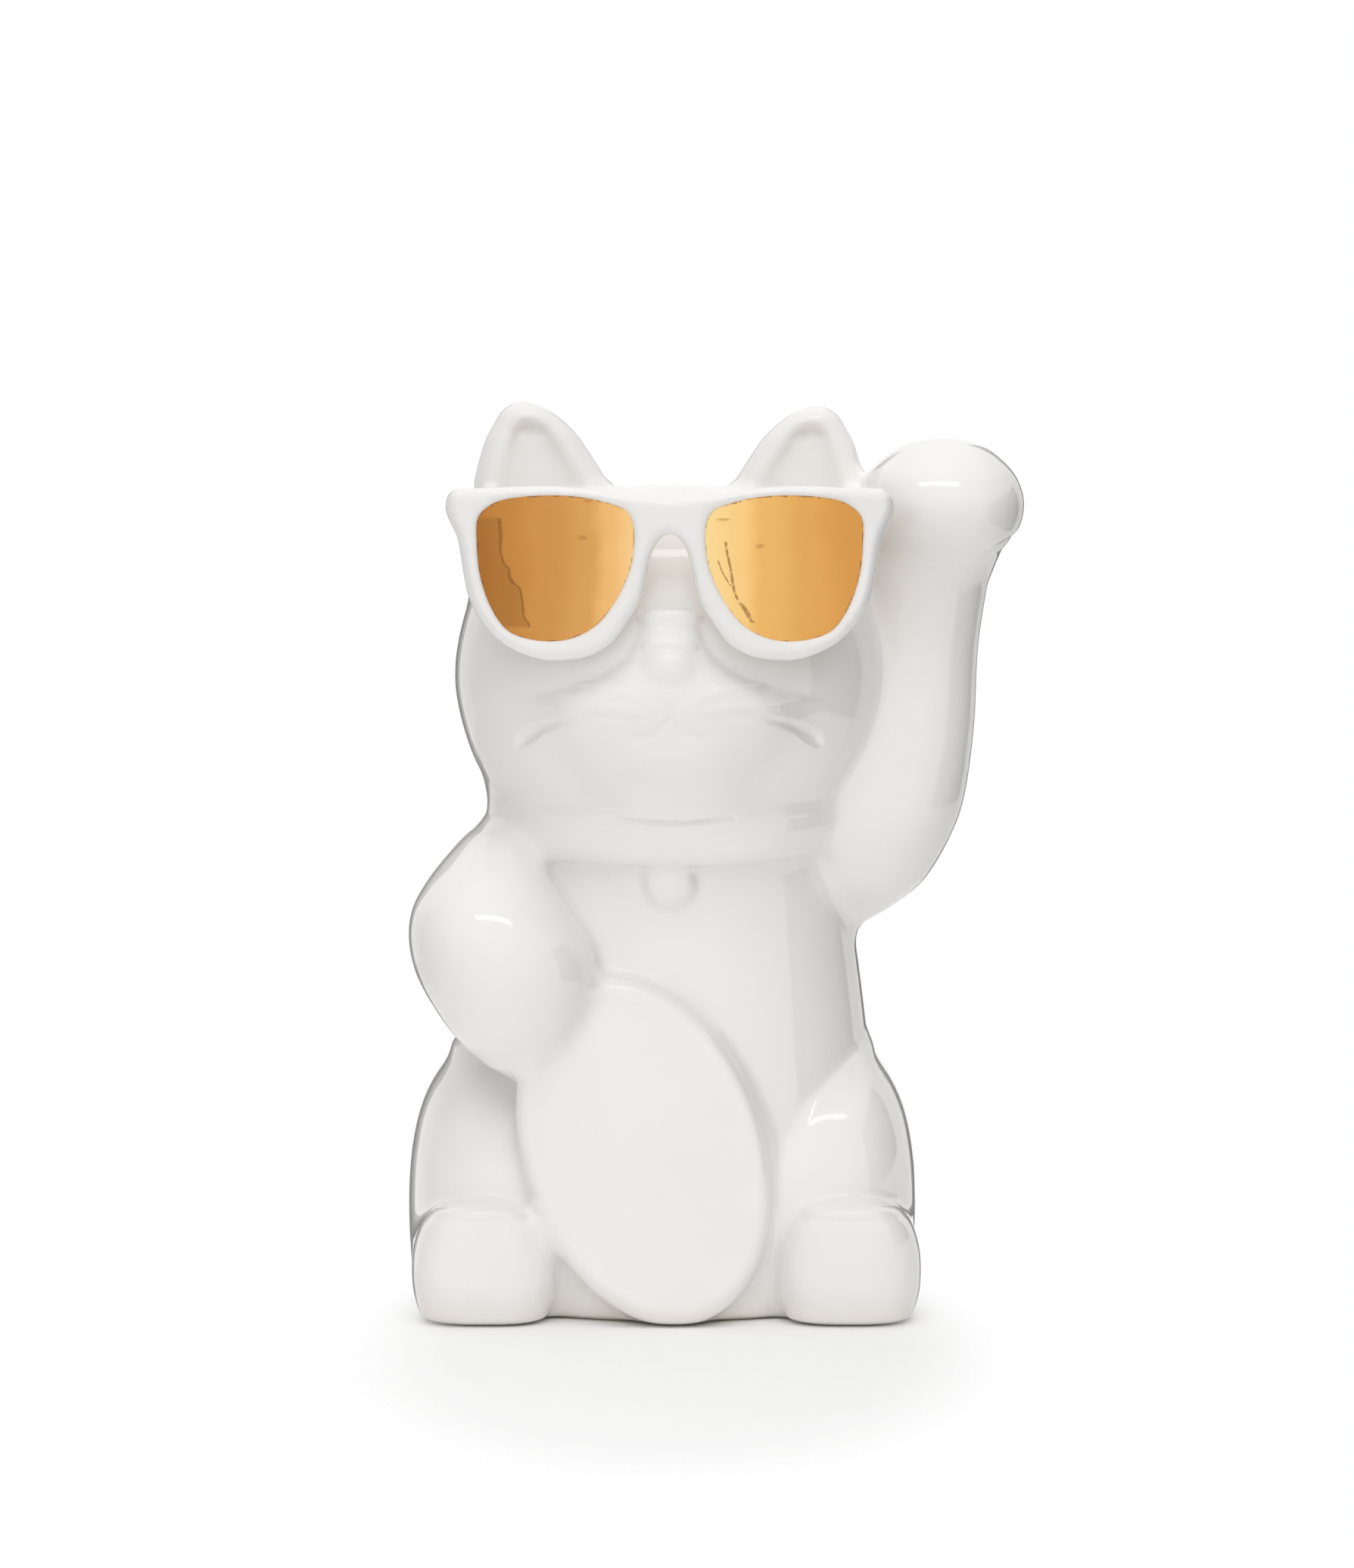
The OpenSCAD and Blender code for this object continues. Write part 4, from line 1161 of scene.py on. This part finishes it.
FLOOR_SIDE, FLOOR_FRONT, FLOOR_BACK = 0.4, -0.9, 0.24
studio_plane("floor", [(-FLOOR_SIDE, FLOOR_FRONT, 0), (FLOOR_SIDE, FLOOR_FRONT, 0),
                       (FLOOR_SIDE, FLOOR_BACK, 0), (-FLOOR_SIDE, FLOOR_BACK, 0)], white_floor())
flag = flag_black()
FLAG_Y, FLAG_LOW, FLAG_HIGH = 1.5, -0.4, 1.0
for name, inner, outer in (("flag_left", -0.31, -0.85), ("flag_right", 0.32, 0.62)):
    studio_plane(name, [(inner, FLAG_Y, FLAG_LOW), (outer, FLAG_Y, FLAG_LOW),
                        (outer, FLAG_Y, FLAG_HIGH), (inner, FLAG_Y, FLAG_HIGH)], flag)
studio_plane("flag_side", [(0.3, -0.15, 0.05), (0.3, 0.2, 0.05), (0.3, 0.2, 0.3), (0.3, -0.15, 0.3)], flag)

area_light("top_softbox", (0, -0.4, 1.05), (0, 0, 0.1), (0.6, 0.1), 0.6)
area_light("side_card", (-0.5, 0.6, 0.35), (-0.05, 0.1, 0.1), (0.5, 1.0), 0.4)

# The world is the studio's soft light, as glows [across, up, strength] round the figure, and plain
# white to the camera, in reflections and through glass. Across is an angle to the right of the
# camera, seen from the figure
GLOWS = [
    (-60, 0, 0.18), (-20, 0, 0.96), (-25, 40, 0.13), (20, 40, 1.06), (0, 70, 0.9),
    (180, 70, 1.8), (0, -25, 0.7),
]
GLOW_FALL = 6.0
world = bpy.data.worlds.new("studio")
bpy.context.scene.world = world
n = Nodes(world)
level = 0.0
for across, up, glow in GLOWS:
    a, e = math.radians(across), math.radians(up)
    middle = (math.sin(a) * math.cos(e), -math.cos(a) * math.cos(e), math.sin(e))
    near = n.math("MAXIMUM", n.vector("DOT_PRODUCT", n.coordinates["Generated"], middle, out="Value"), 0.0)
    level = n.math("MULTIPLY_ADD", n.math("POWER", near, GLOW_FALL), glow, level)
seen = n.seen()
level = n.math("MULTIPLY_ADD", level, n.minus(1.0, seen), seen)
background = n.add("ShaderNodeBackground", {"Color": (1, 1, 1, 1), "Strength": level}).outputs[0]
n.add("ShaderNodeOutputWorld", {"Surface": background})

camera_data = bpy.data.cameras.new("camera")
camera_data.sensor_width = SENSOR
camera_data.lens = FOCAL_PX * SENSOR / PICTURE_H
camera_data.shift_x, camera_data.shift_y = (shift / PICTURE_H for shift in SHIFT_PX)
camera = bpy.data.objects.new("camera", camera_data)
camera.location = CAMERA_AT
camera.rotation_euler = (CAMERA_TIP, 0, 0)
bpy.context.scene.collection.objects.link(camera)
bpy.context.scene.camera = camera
bpy.context.scene.view_settings.view_transform = "Standard"
